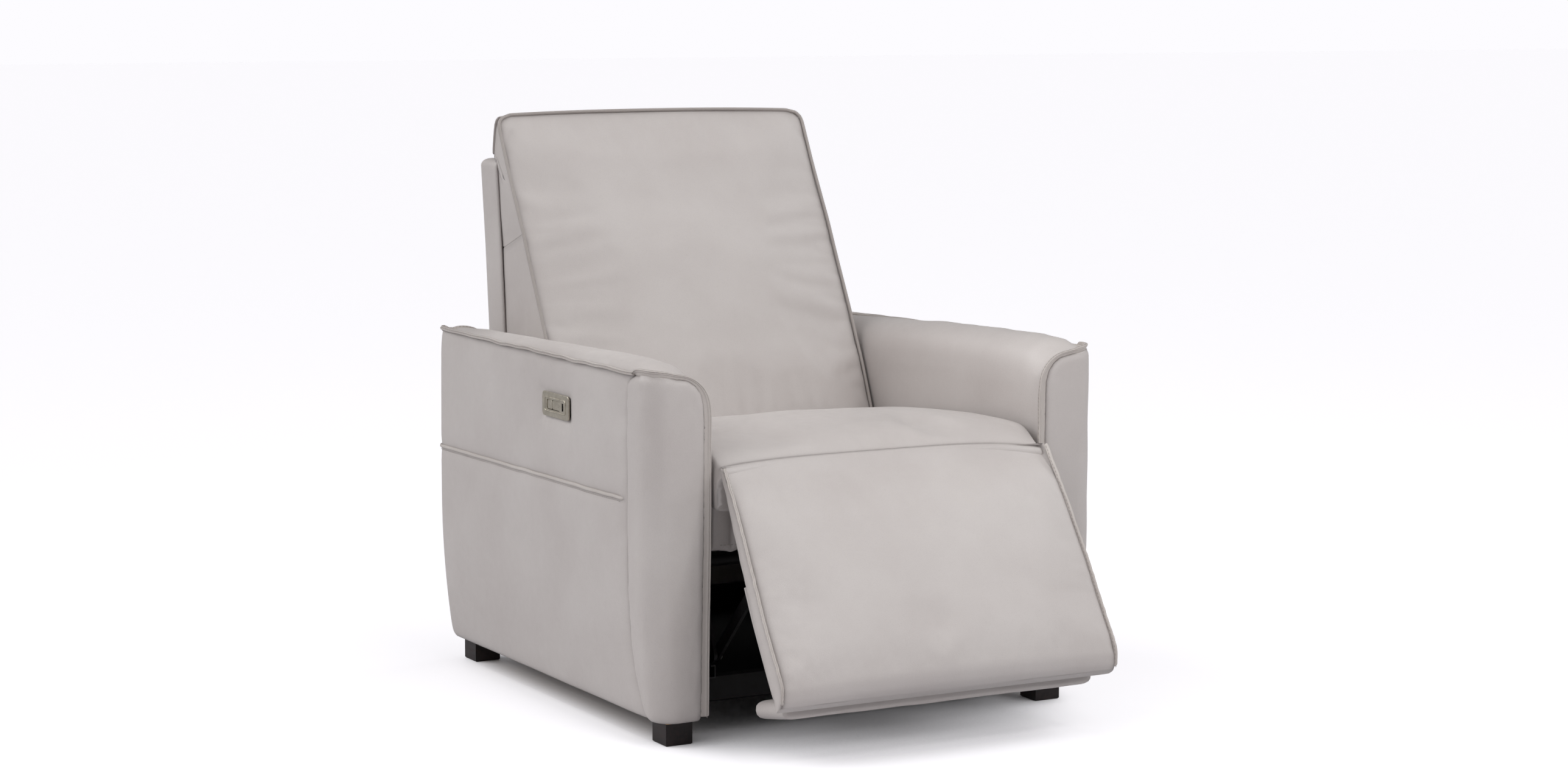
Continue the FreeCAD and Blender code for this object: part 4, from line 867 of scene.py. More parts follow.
def sideWeltPath(side):
    # across the arm's rear edge, round the corner and forward along the side
    bases, tips = [], []
    turned, reach = arm["rearCorner"], arm["weltReach"] * 0.45
    rear = arm["depth"] - 0.003
    for x in (0.334, 0.343, 0.358, 0.375, 0.392, arm["side"] - turned):
        bases.append(atDepth(side * x, rear - 0.001, rearTopAt(x)))
        tips.append(atDepth(side * (x - 0.002), rear + arm["weltReach"] * 0.42, rearTopAt(x) + 0.0035))
    for turn in quarterTurns(3)[:2]:
        sine, cosine = sin(turn), cos(turn)
        x, depth = arm["side"] - turned + turned * sine, rear - turned + turned * cosine
        bases.append(atDepth(side * x, depth, arm["edgeTop"]))
        tips.append(atDepth(side * (x + reach * sine), depth + reach * cosine, arm["edgeTop"] + 0.003))
    for depth in spread(arm["depth"] - 0.030, 0.050, 0.02):
        rise = 0.0022 * wave(depth, 0, 0, 0.06, 15.0 + side)
        lift = 0.0016 + 0.0012 * wave(depth, 0, 0, 0.05, 25.0)
        reach = arm["weltReach"] * (1 + 0.20 * wave(depth, 0, 0, 0.05, 5.0 + side))
        reach *= 1 - 0.5 * smooth((depth - 0.74) / 0.09)
        bases.append(atDepth(side * (arm["side"] - 0.001), depth, arm["edgeTop"] + rise))
        tips.append(atDepth(side * (arm["side"] - 0.001 + reach), depth, arm["edgeTop"] + rise + lift))
    return besidePath(bases, tips, 0.005)


def flangePath(side):
    # up from the side seam, round the corner, over the front and down the inner edge
    bases = [atDepth(side * arm["side"], depth, arm["edgeTop"] + 0.0005) for depth in (0.056, 0.048, 0.041)]
    tips = [atDepth(side * (arm["side"] + reach), depth, arm["edgeTop"] + up)
            for depth, reach, up in ((0.054, 0.0075, 0.003), (0.047, 0.005, 0.0085), (0.040, 0.003, 0.0105))]
    for turn in (0.05, 0.35, 0.65, 0.95):
        angle = quarter * (1 - turn)
        x = arm["side"] - arm["corner"] + arm["corner"] * sin(angle)
        z = readTable(arm["pillowTop"], x)
        depth = arm["corner"] * (1 - cos(angle))
        bases.append(atDepth(side * x, depth, z))
        tips.append(atDepth(side * (x + 0.002 * sin(angle)), depth - 0.002 * cos(angle), z + 0.0100))
    for (x, z), (tipX, tipZ) in list(zip(arm["pillowTop"], arm["flangeTip"]))[-3::-1]:
        bases.append(atDepth(side * x, 0.001, z))
        tips.append(atDepth(side * tipX, -0.0005, tipZ))
    for z in (0.50, 0.46, 0.40, 0.33, 0.26, 0.19, 0.12, 0.050):
        bases.append(atDepth(side * innerAt(z), 0.001, z))
        tips.append(atDepth(side * (innerAt(z) - mix(0.0145, 0.0135, smooth((z - 0.3) / 0.2))), 0.0, z))
    bases, tips = besidePath(bases, tips, 0.005)
    swayed = []
    for tip in tips:
        sway = 0.0007 * wave(tip.x, tip.y, tip.z, 0.035, 71.0)
        swayed.append(tip + Vector((sway, -abs(sway), sway)))
    return bases, swayed


def armWelts(side):
    half = arm["weltHalf"]
    # name, path, section, and the share of the reach and the distance at which the stitches run
    kinds = [("sideWelt", sideWeltPath(side), plainLip, 0.40, half),
             ("frontWelt", flangePath(side), lipFace, 0.745, half * 0.5)]
    welts, grooves = [], []
    for label, (bases, tips), face, share, off in kinds:
        welts.append(lipStrip(label, bases, tips, half, face))
        grooves.append([base.lerp(tip, 0.97) for base, tip in zip(bases, tips)])
        for sign in (-1, 1):
            stitchLines["base"].append([sunk(p, side) for p in besideLip(bases, tips, share, off * sign)])
    piece = settle(smoothed(joined(sideNames[side] + "_arm_welt", welts)))
    # painted shade in the groove between each welt's two layers
    paintSeamShade(piece, grooves, 0.0010, 0.9)
    return sagged(piece, side)


def ridgeSeam(side):
    # the raised cross seam on the side panel
    corner = arm["rearCorner"]
    end = arm["depth"] - corner
    path, outs = [], []
    for depth in spread(arm["ridgeStart"], end, 0.005):
        z = ridgeAt(depth) + 0.0009 * wave(depth, 0, 0, 0.05, 80.0 + side)
        sink = 0.003 * (1 - smooth((depth - arm["ridgeStart"]) / 0.012))
        path.append(atDepth(side * (arm["side"] + sideOffset(depth, z, side) + 0.0006 - sink), depth, z))
        outs.append((side, 0, 0.15))
    middle = arm["side"] + sideOffset(end, ridgeAt(end), side) - corner
    for turn in quarterTurns(6):
        path.append(atDepth(side * (middle + (corner + 0.0004) * cos(turn)),
                            end + (corner + 0.0004) * sin(turn), ridgeAt(end)))
        outs.append((side * cos(turn), sin(turn), 0.15))
    section = [(0.0030, 0.0), (0.0028, 0.0017), (0.0018, 0.0031), (-0.0012, 0.0036), (-0.0012, -0.0036),
               (0.0018, -0.0031), (0.0028, -0.0017)]
    stitchLines["base"].append([Vector(p) + Vector(o).normalized() * 0.0004 - Vector((0, 0, 0.0062))
                                for p, o in zip(path[3:], outs[3:])])
    return settle(smoothed(strip(sideNames[side] + "_arm_ridge_seam", path, outs, section, weltLeather)))


armCovers = [(sideCover, "_arm_outer_panel"), (frontCover, "_arm_front_pad"), (topCover, "_arm_top_pad")]
for side in (-1, 1):
    for make, node in armCovers:
        dress(make(side), "base", [sideNames[side] + node], arm["fill"])
    for make in (armWelts, ridgeSeam):
        dress(make(side), "base")
print("arms dressed")


# Back and headrest: one front cover over both, side bands and a hard-backed shell

back = {
    "half": 0.318, "corner": 0.022, "crown": 0.022, "headCrown": 0.014, "crownPower": 2.4,
    "line": [(0.548, 0.425), (0.561, 0.455), (0.593, 0.533), (0.620, 0.587), (0.646, 0.640),
             (0.698, 0.738), (0.727, 0.795), (0.746, 0.828), (0.788, 0.902), (0.818, 0.960),
             (0.8335, 0.990), (0.8375, 0.9985)],
    # over the top: depth, height, the crown's lift and how far the side draws in
    "overTop": [(0.8425, 1.0035, 0.0050, 0.001), (0.8480, 0.998, 0.0045, 0.012),
                (0.8540, 0.978, 0.003, 0.019), (0.8590, 0.950, 0.001, 0.021), (0.8620, 0.930, 0.0, 0.021)],
    "split": (0.727, 0.795), "creaseRear": (0.822, 0.761),
    "foldLow": (0.700, 0.745), "foldHigh": (0.752, 0.845),
    "shell": [(0.300, 0.885), (0.610, 0.888), (0.764, 0.902), (0.914, 0.920)],
    "shellDepth": 0.080, "shellLow": 0.300, "shellTop": 0.922, "shellLast": 0.914, "shellCorner": 0.014,
    "thick": 0.003, "fill": 0.8, "bandThick": 0.012, "bandFill": 0.7, "piping": 0.0031, "swell": 0.011,
}
backLine = [(p.y, p.z) for p in curvedPath([(0, y, z) for y, z in back["line"]], 0.008)]
lineTop = backLine[-1][1]


def outwardOf(points, i):
    before, after = points[max(i - 1, 0)], points[min(i + 1, len(points) - 1)]
    run, rise = after[0] - before[0], after[1] - before[1]
    length = hypot(run, rise)
    return -rise / length, run / length


def halfAt(z):
    # half the back's width at a height, drawn in round its top corners
    return back["half"] - cornerIn(lineTop + 0.004 - z, back["corner"])


def backFront():
    shares = acrossShares(84)
    rows = []
    for i, (y, z) in enumerate(backLine):
        outY, outZ = outwardOf(backLine, i)
        half = halfAt(z)
        crown = mix(back["crown"], back["headCrown"], smooth((z - 0.72) / 0.12))
        top = rollIn(lineTop - z + 0.002, 0.02)
        row = []
        for share in shares:
            x = share * half
            fromEdge = half - abs(x)
            out = crown * (1 - abs(share) ** back["crownPower"]) * top
            out += 0.007 * rollIn(fromEdge, 0.010) * top - 0.003
            out += 0.0022 * wave(x, y, z, 0.14, 90.0) * rollIn(fromEdge, 0.05)
            fold = exp(-fromEdge / 0.035) * rollIn(fromEdge, 0.005)
            out += 0.0034 * fold * wave(x * 0.6, 0, z + abs(x) * 0.9, 0.033, 95.0)
            row.append(atDepth(x, y + out * outY, z + out * outZ))
        rows.append(row)
    # over the top and down behind to the shell
    for y, z, lift, drawn in back["overTop"]:
        half = min(halfAt(lineTop) + drawn, back["half"])
        rows.append([atDepth(share * half, y + 0.0008 * wave(share * half, 0, z, 0.04, 98.0),
                             z + lift * (1 - abs(share) ** back["crownPower"])) for share in shares])
    return rows


def backPipingPath():
    left = [Vector(atDepth(-halfAt(z), y - 0.001, z)) for y, z in backLine]
    flat = back["half"] - back["corner"] - 0.006
    across = [Vector(atDepth(x, 0.8420, 1.0035 + 0.0045 * (1 - abs(x / flat) ** back["crownPower"])))
              for x in spread(-flat, flat, 0.02)]
    right = [Vector((-p.x, p.y, p.z)) for p in reversed(left)]
    return evenPath(left + across + right, 0.006)


def dressBack():
    rows = backFront()
    columns = len(rows[0])
    cover = newPiece("back_front_cover", flattened(rows), gridFaces(len(rows), columns), leather,
                     atDepth(0, 0.80, 0.70))
    pinned = [i * columns + j for i in range(len(rows)) for j in range(columns)
              if min(i, j, columns - 1 - j) < 1 or i >= len(rows) - 6]
    relaxed(cover, pinned, slack=0.007, cap=back["swell"], firm=7.0)
    settle(smoothed(walled(cover, back["thick"])))
    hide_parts("back_cushion", "headrest_cushion")
    path = backPipingPath()
    piping = strip("back_piping", path, [(p.x, -0.6, 0.3) for p in path],
                   roundSection(back["piping"], back["piping"], 10), weltLeather)
    # painted shade beside the piping on the cover, and over the whole piping, which it darkens
    for piece, reach, strength in ((cover, 0.0034, 1.0), (piping, 0.0065, 0.65)):
        paintSeamShade(piece, [path], reach, strength)
        atDepth(0, *back["foldLow"])
        atDepth(0, *back["foldHigh"])
        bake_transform(piece)


def shellRearAt(z):
    return readTable(back["shell"], z)


def bandPiece(name, outline, side, bulge):
    # a padded side band filled from its outline of (depth, height) corners
    ring = evenPath([(0, y, z) for y, z in outline] + [(0, *outline[0])], 0.010)[:-1]
    middle = sum(ring, Vector()) / len(ring)
    rows = []
    for share in (1.0, 0.985, 0.95, 0.88, 0.76, 0.6, 0.42, 0.24, 0.1):
        row = []
        for p in ring:
            q = middle.lerp(p, share)
            puff = bulge * (1 - share ** 2.5) + 0.0020 * wave(q.y, q.z, side, 0.05, 33.0) * (1 - share ** 6)
            row.append(atDepth(side * (halfAt(q.z) - 0.0035 + puff), q.y, q.z))
        rows.append(row)
    columns = len(ring)
    vertices = flattened(rows)
    faces = gridFaces(len(rows), columns, around=True)
    faces.append(tuple(range(len(vertices) - columns, len(vertices))))
    piece = newPiece(name, vertices, faces, leather, atDepth(0, middle.y, middle.z))
    settle(walled(piece, back["bandThick"]))
    # painted shade along the band's seam
    paintSeamShade(piece, [[atDepth(side * halfAt(z), y, z) for y, z in outline]], 0.0028, 1.0)
    return piece


def dressBands():
    # the back's and the headrest's sides, a little behind the front cover's line
    under = [(y + 0.002, z) for y, z in backLine]
    split = (back["split"][0] + 0.003, back["split"][1])
    joint = {z: (shellRearAt(z) + 0.004 - back["shellDepth"], z) for z in (0.31, 0.61, 0.85)}
    lower = [p for p in under if p[1] < split[1]]
    lower += [split, back["creaseRear"], joint[0.61], joint[0.31], (0.640, 0.31)]
    upper = [split] + [p for p in under if p[1] >= split[1] - 0.002]
    upper += [(0.8455, 0.996), (0.8510, 0.978), (0.8570, 0.950), (0.8595, 0.928), (0.846, 0.915),
              joint[0.85], back["creaseRear"]]
    fill = back["bandFill"]
    for side in (-1, 1):
        name = sideNames[side]
        band = bandPiece(name + "_back_side_cover", lower, side, 0.004)
        dress(band, "back", [name + "_back_side_panel"], fill)
        dress(bandPiece(name + "_headrest_side_cover", upper, side, 0.003), "headrest", fill=fill)


def shellRing(z, inset):
    # once round the shell at a height, from its left front edge over the rear to its right one
    corner = back["shellCorner"]
    rear = shellRearAt(min(z, back["shellLast"])) - inset
    front = shellRearAt(min(z, back["shellLast"])) - back["shellDepth"] + inset * 0.5
    wide = back["half"] + 0.001 - inset
    flat = wide - corner
    left = [atDepth(-wide, mix(front, rear - corner, k / 5), z) for k in range(6)]
    for turn in quarterTurns(6)[:5]:
        left.append(atDepth(-flat - corner * cos(turn), rear - corner + corner * sin(turn), z))
    across = []
    for k in range(33):
        x = mix(-flat, flat, k / 32)
        puff = 0.004 * (1 - abs(x / wide) ** 3) * (1 - inset / corner)
        across.append(atDepth(x, rear + puff + 0.0012 * wave(x, 0, z, 0.12, 17.0), z))
    return left + across + [(-x, y, z) for x, y, z in reversed(left)]


def shellCover():
    corner = back["shellCorner"]
    low, top = back["shellLow"], back["shellTop"] - corner
    rows = [shellRing(z, 0.0) for z in spreadAround(low, top, 0.018, [low], 0.006, 0.01)]
    for turn in quarterTurns(6):
        rows.append(shellRing(top + corner * sin(turn), corner * (1 - cos(turn))))
    # over the top edge and down inside it
    lipY = shellRearAt(back["shellLast"]) + armFrontY - 0.022
    rows.append([(x * 0.96, min(y, lipY), z - 0.001) for x, y, z in rows[-1]])
    rows.append([(x, y, z - 0.05) for x, y, z in rows[-1]])
    return coverPiece("back_shell_cover", rows, leather, atDepth(0, 0.86, 0.6), back["thick"])


dressBack()
dressBands()
dress(shellCover(), "back", ["back_outer_panel"], 1.0)


# Gussets that lie folded in the headrest's crease

gusset = {"half": 0.3085, "overlap": 0.016, "fold": 0.008, "thick": 0.0010,
          "rear": [(0.857, 0.948), (0.858, 0.926), (0.867, 0.903), (0.884, 0.895), (0.895, 0.902),
                   (0.8985, 0.886)],
          "rearHalf": 0.300, "rearThick": 0.0008, "rearLow": (0.896, 0.900), "rearHigh": (0.862, 0.928)}


def creaseGusset(side):
    name = sideNames[side]
    start, end = Vector(atDepth(0, *back["split"])), Vector(atDepth(0, *back["creaseRear"]))
    along = end - start
    up = Vector((0, -along.z, along.y)).normalized()
    out = Vector((side * gusset["half"], 0, 0))
    rows = [[start + along * mix(0.04, 0.99, k / 12) + up * off + out for k in range(13)]
            for off in spread(-gusset["overlap"], gusset["overlap"], 0.002)]
    piece = coverPiece(name + "_crease_gusset", rows, leather, (0, start.y, start.z), gusset["thick"])
    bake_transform(piece)


def rearGusset():
    path = curvedPath([(0, y, z) for y, z in gusset["rear"]], 0.006)
    across = spread(-gusset["rearHalf"], gusset["rearHalf"], 0.02)
    rows = [[atDepth(x, p.y, p.z) for x in across] for p in path]
    piece = coverPiece("rear_gusset", rows, liner, atDepth(0, 0.86, 0.80), gusset["rearThick"])
    runLengths(path)[-1]
    atDepth(0, *gusset["rearLow"])
    atDepth(0, *gusset["rearHigh"])
    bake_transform(piece)


for side in (-1, 1):
    creaseGusset(side)
rearGusset()
print("back dressed")


# Seat

seat = {
    "half": 0.312, "low": 0.390, "crown": 0.019, "rearCrown": 0.004, "crownPower": 2.6, "front": -0.018,
    "line": [(0.528, 0.452), (0.43, 0.465), (0.308, 0.479), (0.176, 0.4905), (0.076, 0.4925),
             (0.030, 0.4885), (0.000, 0.4800), (-0.012, 0.4752), (-0.018, 0.4735)],
    "kneeHeight": 0.462, "kneeRadius": 0.0115, "swell": 0.008, "fill": 0.85,
}
panel = {"half": 0.3125, "face": 0.010, "low": 0.323, "high": 0.462, "thick": 0.018, "seamHalf": 0.275,
         "stitchHalf": 0.296, "fill": 0.6}


def kneeDrop(x):
    # how far the knee seam lies below its middle, lower on the sitter's left
    share = abs(x) / seat["half"]
    return 0.009 * share ** 4 + (0.007 * share ** 3 if x > 0 else 0.0)


def seatSide(side, y, z, near, levels):
    # a side wall's places at a ring, at shares of its height
    top = z - kneeDrop(side * 0.3) * near
    depth = max(y, seat["front"] + 0.006)
    return [atDepth(side * (seat["half"] + 0.003 * sin(pi * level)), depth, mix(seat["low"], top, level))
            for level in levels]


def seatForm():
    # the rings of the seat and those of its places that the cloth simulation may move
    across = acrossShares(72)
    profile = [(p.y, p.z, False) for p in curvedPath([(0, y, z) for y, z in seat["line"]], 0.009)]
    for turn in quarterTurns(6) + [quarter * 7 / 6]:
        profile.append((seat["front"] - seat["kneeRadius"] * sin(turn),
                        seat["kneeHeight"] + seat["kneeRadius"] * cos(turn), True))
    levels = (0.8, 0.55, 0.3, 0.08, 0.0)
    rings, free = [], []
    for i, (y, z, nose) in enumerate(profile):
        outY, outZ = outwardOf([p[:2] for p in profile], i)
        front = smooth((y - seat["front"]) / 0.11)
        rear = smooth((0.53 - y) / 0.34)
        near = 1 - smooth((y - seat["front"]) / 0.06)
        crown = 0.0 if nose else mix(seat["rearCrown"], seat["crown"], rear) * front
        ring = []
        for share in across:
            x = share * seat["half"]
            out = crown * (1 - abs(share) ** seat["crownPower"])
            out += 0.0016 * wave(x, y, z, 0.12, 110.0) * front * rollIn(seat["half"] - abs(x), 0.02)
            ring.append(atDepth(x, y - abs(outY) * out * 0.5, z + abs(outZ) * out - kneeDrop(x) * near))
        if not nose:
            free += [p for p in ring[3:len(across) - 3] if p[1] - armFrontY > -0.010]
        ring += seatSide(1, y, z, near, levels)
        for share in (0.8, 0.4, 0.0, -0.4, -0.8):
            ring.append(atDepth(seat["half"] * share, max(y, seat["front"] + 0.006), seat["low"]))
        rings.append(ring + seatSide(-1, y, z, near, levels[::-1]))
    return rings, free


def kneeLine():
    top = seat["kneeHeight"] + seat["kneeRadius"]
    return [atDepth(x, seat["front"], top - kneeDrop(x)) for x in spread(-seat["half"], seat["half"], 0.01)]


def seatCover():
    rings, free = seatForm()
    piece = closedPiece("seat_cover", rings, leather)
    relaxed(piece, heldVertices(piece, free), slack=0.003, cap=seat["swell"], firm=8.0)
    settle(smoothed(piece))
    # painted shade along the knee seam and the seat's side edges
    paintSeamShade(piece, [kneeLine()], 0.0022, 1.0)
    edges = [[atDepth(side * seat["half"], y, z) for y, z in seat["line"]] for side in (-1, 1)]
    paintSeamShade(piece, edges, 0.006, 0.8)
    return piece


def frontPanel():
    half, seam = panel["half"], panel["seamHalf"]
    across = spreadAround(-half, half, 0.02, [-half, half, -seam, seam], 0.004, 0.008)
    rows = []
    for share in spreadAround(0.0, 1.0, 0.12, [0.0, 1.0], 0.04, 0.06):
        row = []
        for x in across:
            low = panel["low"] + 0.003 * wave(x, 0, 0, 0.06, 130.0)
            low -= 0.004 * exp(-((abs(x) - seam) / 0.01) ** 2)
            z = mix(low, panel["high"], share)
            edge = rollIn(z - low, 0.006) * rollIn(half - abs(x), 0.005) * rollIn(abs(abs(x) - seam), 0.005)
            depth = panel["face"] + 0.004 - 0.006 * edge + 0.002 * wave(x, z, 0, 0.05, 133.0)
            row.append(atDepth(x, depth, z))
        rows.append(row)
    hem = []
    for x in spread(-panel["stitchHalf"], panel["stitchHalf"], 0.006):
        z = panel["low"] + 0.009 + 0.003 * wave(x, 0, 0, 0.06, 130.0)
        hem.append(atDepth(x, panel["face"] - 0.0022, z))
    stitchLines["seat"].append(hem)
    return coverPiece("seat_front_panel_cover", rows, leather, atDepth(0, 0.2, 0.4), panel["thick"])


dress(seatCover(), "seat", ["seat_cushion"], seat["fill"])
dress(frontPanel(), "seat", ["seat_front_panel"], panel["fill"])
print("seat dressed")


# Footrest: a thick pad whose face rolls over its lower end, a board behind it and a folded flap

rest = {
    "kneeDepth": -0.018, "kneeHeight": 0.462, "lean": radians(35.6), "kneeRadius": 0.0125,
    "halfTop": 0.311, "halfLow": 0.318, "crown": 0.022, "rollStart": 0.330, "length": 0.415, "swell": 0.009,
    # along the pad: how far its side seams and its rear edge stand from the knee's plane
    "seam": [(0.0, 0.0120), (0.05, 0.0125), (0.10, 0.0115), (0.222, 0.005), (0.288, -0.001), (0.370, -0.004),
             (0.398, -0.010), (0.410, -0.019), (0.415, -0.028)],
    "rear": [(0.0, -0.004), (0.05, -0.008), (0.10, -0.017), (0.20, -0.026), (0.26, -0.033), (0.36, -0.043),
             (0.415, -0.046)],
    "board": (0.196, 0.392), "boardHalf": 0.3165, "boardEdge": 0.007,
    "boardRear": [(0.196, -0.041), (0.256, -0.050), (0.36, -0.055), (0.392, -0.055)],
    "lip": 0.0050, "lipHalf": 0.0026, "fill": 0.8, "boardFill": 0.9,
}
# a thin padded flap folded back behind the board on its hinge leaves
flap = {"half": 0.298, "edge": 0.0055, "thick": 0.031, "start": (-0.2035, 0.0965), "end": (-0.112, 0.0795),
        "fill": 0.6}
flapRun, flapRise = flap["end"][0] - flap["start"][0], flap["end"][1] - flap["start"][1]
flapLength = hypot(flapRun, flapRise)


def onPad(x, along, out):
    # a place on the footrest: down it from the knee, and out from its front plane
    sine, cosine = sin(rest["lean"]), cos(rest["lean"])
    return atDepth(x, rest["kneeDepth"] - along * sine - out * cosine,
                   rest["kneeHeight"] - along * cosine + out * sine)


def onFlap(x, along, out):
    return atDepth(x, flap["start"][0] + (flapRun * along - flapRise * out) / flapLength,
                   flap["start"][1] + (flapRise * along + flapRun * out) / flapLength)


def padHalf(along):
    return mix(rest["halfTop"], rest["halfLow"], smooth(along / 0.3))


def padSeam(along):
    return readTable(rest["seam"], along)


def padRear(along):
    return readTable(rest["rear"], along)


def padSides(half, along, rear):
    # the side walls and the flat rear of one ring
    seam = padSeam(along) if along > 0 else 0.008
    levels = (0.12, 0.3, 0.55, 0.8, 0.95, 1.0)

    def wall(side, shares):
        wide = [half + 0.0030 * sin(pi * s) + 0.0012 * wave(along * 3, s * 0.02, 0, 0.03, 145.0)
                for s in shares]
        return [onPad(side * x, along, mix(seam, rear, s)) for x, s in zip(wide, shares)]

    flat = [onPad(half * share, along, rear) for share in (0.8, 0.4, 0.0, -0.4, -0.8)]
    return wall(1, levels) + flat + wall(-1, levels[::-1])


def footrestForm():
    # the knee's roll, the face, and the roll over the lower end
    start, halfTop = rest["rollStart"], rest["halfTop"]
    reach = rest["length"] - start
    alongs = spreadAround(0.0, start, 0.010, [0.0], 0.005, 0.02)
    alongs += [start + reach * sin(turn) for turn in quarterTurns(14)]
    across = acrossShares(76)
    rings, free = [], []
    for k in range(5, 0, -1):
        turn = (quarter - rest["lean"]) * k / 5
        ring = []
        for share in across:
            radius = rest["kneeRadius"] - kneeDrop(share * halfTop)
            ring.append(onPad(share * halfTop, -radius * sin(turn), radius * cos(turn)))
        rings.append(ring + padSides(halfTop, 0.0, -0.003))
    for along in alongs:
        half = padHalf(along)
        end = sqrt(max(1 - max((along - start) / reach, 0.0) ** 2, 0.0))
        top = smooth(along / 0.13)
        ring = []
        for share in across:
            x = share * half
            fromEdge = half - abs(x)
            out = padSeam(along) - kneeDrop(x) * (1 - smooth(along / 0.08))
            out += rest["crown"] * (1 - abs(share) ** seat["crownPower"]) * end * top
            out += 0.006 * rollIn(fromEdge, 0.008) * end * top
            tuck = exp(-fromEdge / 0.022) * rollIn(fromEdge, 0.003)
            out += 0.0042 * tuck * top * end * wave(0, along + 0.3 * fromEdge, 0, 0.013, 140.0 + (share > 0))
            out += 0.0016 * wave(x, along, 0, 0.10, 150.0) * rollIn(fromEdge, 0.02) * top
            ring.append(onPad(x, along, out))
        if 0.03 < along < 0.39:
            free += ring[3:len(across) - 3]
        rings.append(ring + padSides(half, along, padRear(along)))
    return rings, free


def padCover():
    rings, free = footrestForm()
    piece = closedPiece("footrest_pad_cover", rings, leather)
    relaxed(piece, heldVertices(piece, free), slack=0.004, cap=rest["swell"], firm=8.0)
    settle(smoothed(piece))
    seams = [[onPad(side * padHalf(a), a, padSeam(a)) for a in spread(0.0, rest["length"], 0.005)]
             for side in (-1, 1)]
    # painted shade along the pad's side seams and the knee seam
    paintSeamShade(piece, seams, 0.0032, 0.9)
    paintSeamShade(piece, [kneeLine()], 0.0022, 1.0)
    return piece


def padLip(side):
    # the sewn edge that stands along a side seam, puckered
    alongs = spread(0.006, rest["length"] - 0.003, 0.02)
    half = rest["lipHalf"]
    bases = [onPad(side * padHalf(a), a, padSeam(a)) for a in alongs]
    tips = [onPad(side * (padHalf(a) + 0.003), a, padSeam(a) + rest["lip"]) for a in alongs]
    bases, tips = besidePath(bases, tips, 0.004)
    pucker = Vector((side * 0.0016, 0.0010, 0.0014))
    tips = [tip + pucker * wave(tip.x, tip.y, tip.z, 0.010, 165.0) for tip in tips]
    stitchLines["footrest"] += [besideLip(bases, tips, 0.45, half * sign) for sign in (-1, 1)]
    return lipStrip("padLip", bases, tips, half, plainLip)


def slabCover(name, ends, face, rear, half, edge, seed, place):
    # a thin upholstered board between two faces, its edges rounded
    low, high = ends
    rings = []
    for a in spreadAround(low, high, 0.02, [low, high], 0.003, 0.008):
        middle = (face(a) + rear(a)) / 2
        thick = abs(face(a) - rear(a)) / 2
        fromEnd = min(a - low, high - a)
        ring = []
        for front in (1, -1):
            for share in acrossShares(30, 0.6):
                x = half * share * front
                fromSide = half - abs(x)
                offset = max(thick - max(cornerIn(fromEnd, edge), cornerIn(fromSide, edge)), 0.0008)
                ripple = 0.0018 * wave(x, a, front, 0.03, seed)
                offset += ripple * rollIn(fromSide, 0.006) * rollIn(fromEnd, 0.004)
                ring.append(place(x, a, middle + front * offset))
        rings.append(ring)
    return settle(smoothed(closedPiece(name, rings, leather)))


def boardCover():
    piece = slabCover("footrest_board_cover", rest["board"], lambda a: padRear(a) + 0.003,
                      lambda a: readTable(rest["boardRear"], a), rest["boardHalf"], rest["boardEdge"],
                      170.0, onPad)
    lines = [[onPad(side * padHalf(a), a, padRear(a)) for a in spread(0.03, rest["length"], 0.01)]
             for side in (-1, 1)]
    # painted shade where the pad's rear edges meet the board
    paintSeamShade(piece, lines, 0.004, 0.8)
    return piece


def flapCover():
    piece = slabCover("flap_cover", (0.0, flapLength), lambda a: flap["thick"] / 2,
                      lambda a: -flap["thick"] / 2, flap["half"], flap["edge"], 180.0, onFlap)
    lines = [[onFlap(side * (flap["half"] - 0.004), a, out) for a in (0.0, flapLength)]
             for side in (-1, 1) for out in (-0.010, 0.010)]
    # painted shade along the seams at the flap's side edges
    paintSeamShade(piece, lines, 0.0016, 0.9)
    return piece


dress(padCover(), "footrest", ["footrest_pad"], rest["fill"])
dress(settle(smoothed(joined("footrest_flange", [padLip(-1), padLip(1)]))), "footrest")
dress(boardCover(), "footrest", ["ottoman_board"], rest["boardFill"])
dress(flapCover(), "flap", ["flap_pad"], flap["fill"])
print("footrest dressed")


# Rear apron, and black cloths under the base and inside the arms that stand in for the shade there

apron = {"half": 0.318, "low": 0.056, "high": 0.187, "face": 0.8385, "depth": 0.018, "edge": 0.009,
         "inletX": -0.150, "inletZ": 0.078, "inletHalf": 0.0135, "inletTall": 0.0100,
         "thick": 0.003, "fill": 0.9}
# a black cloth under the base: painted shade where the chair's inside is dark
shadeCloth = {"half": 0.343, "front": 0.074, "rear": 0.812, "height": 0.0565, "thick": 0.0008, "sag": 0.004}
lining = {"x": 0.3345, "low": 0.060, "high": arm["liningTop"], "front": arm["liningFront"], "rear": 0.846}


def fromInlet(x, z):
    # how far a place of the apron lies outside the inlet's opening, below 0 within it
    return max(abs(x - apron["inletX"]) - apron["inletHalf"], abs(z - apron["inletZ"]) - apron["inletTall"])


def clearOfInlet(centre):
    return not (fromInlet(centre.x, centre.z) < 0 and centre.y - armFrontY > apron["face"] - 0.004)


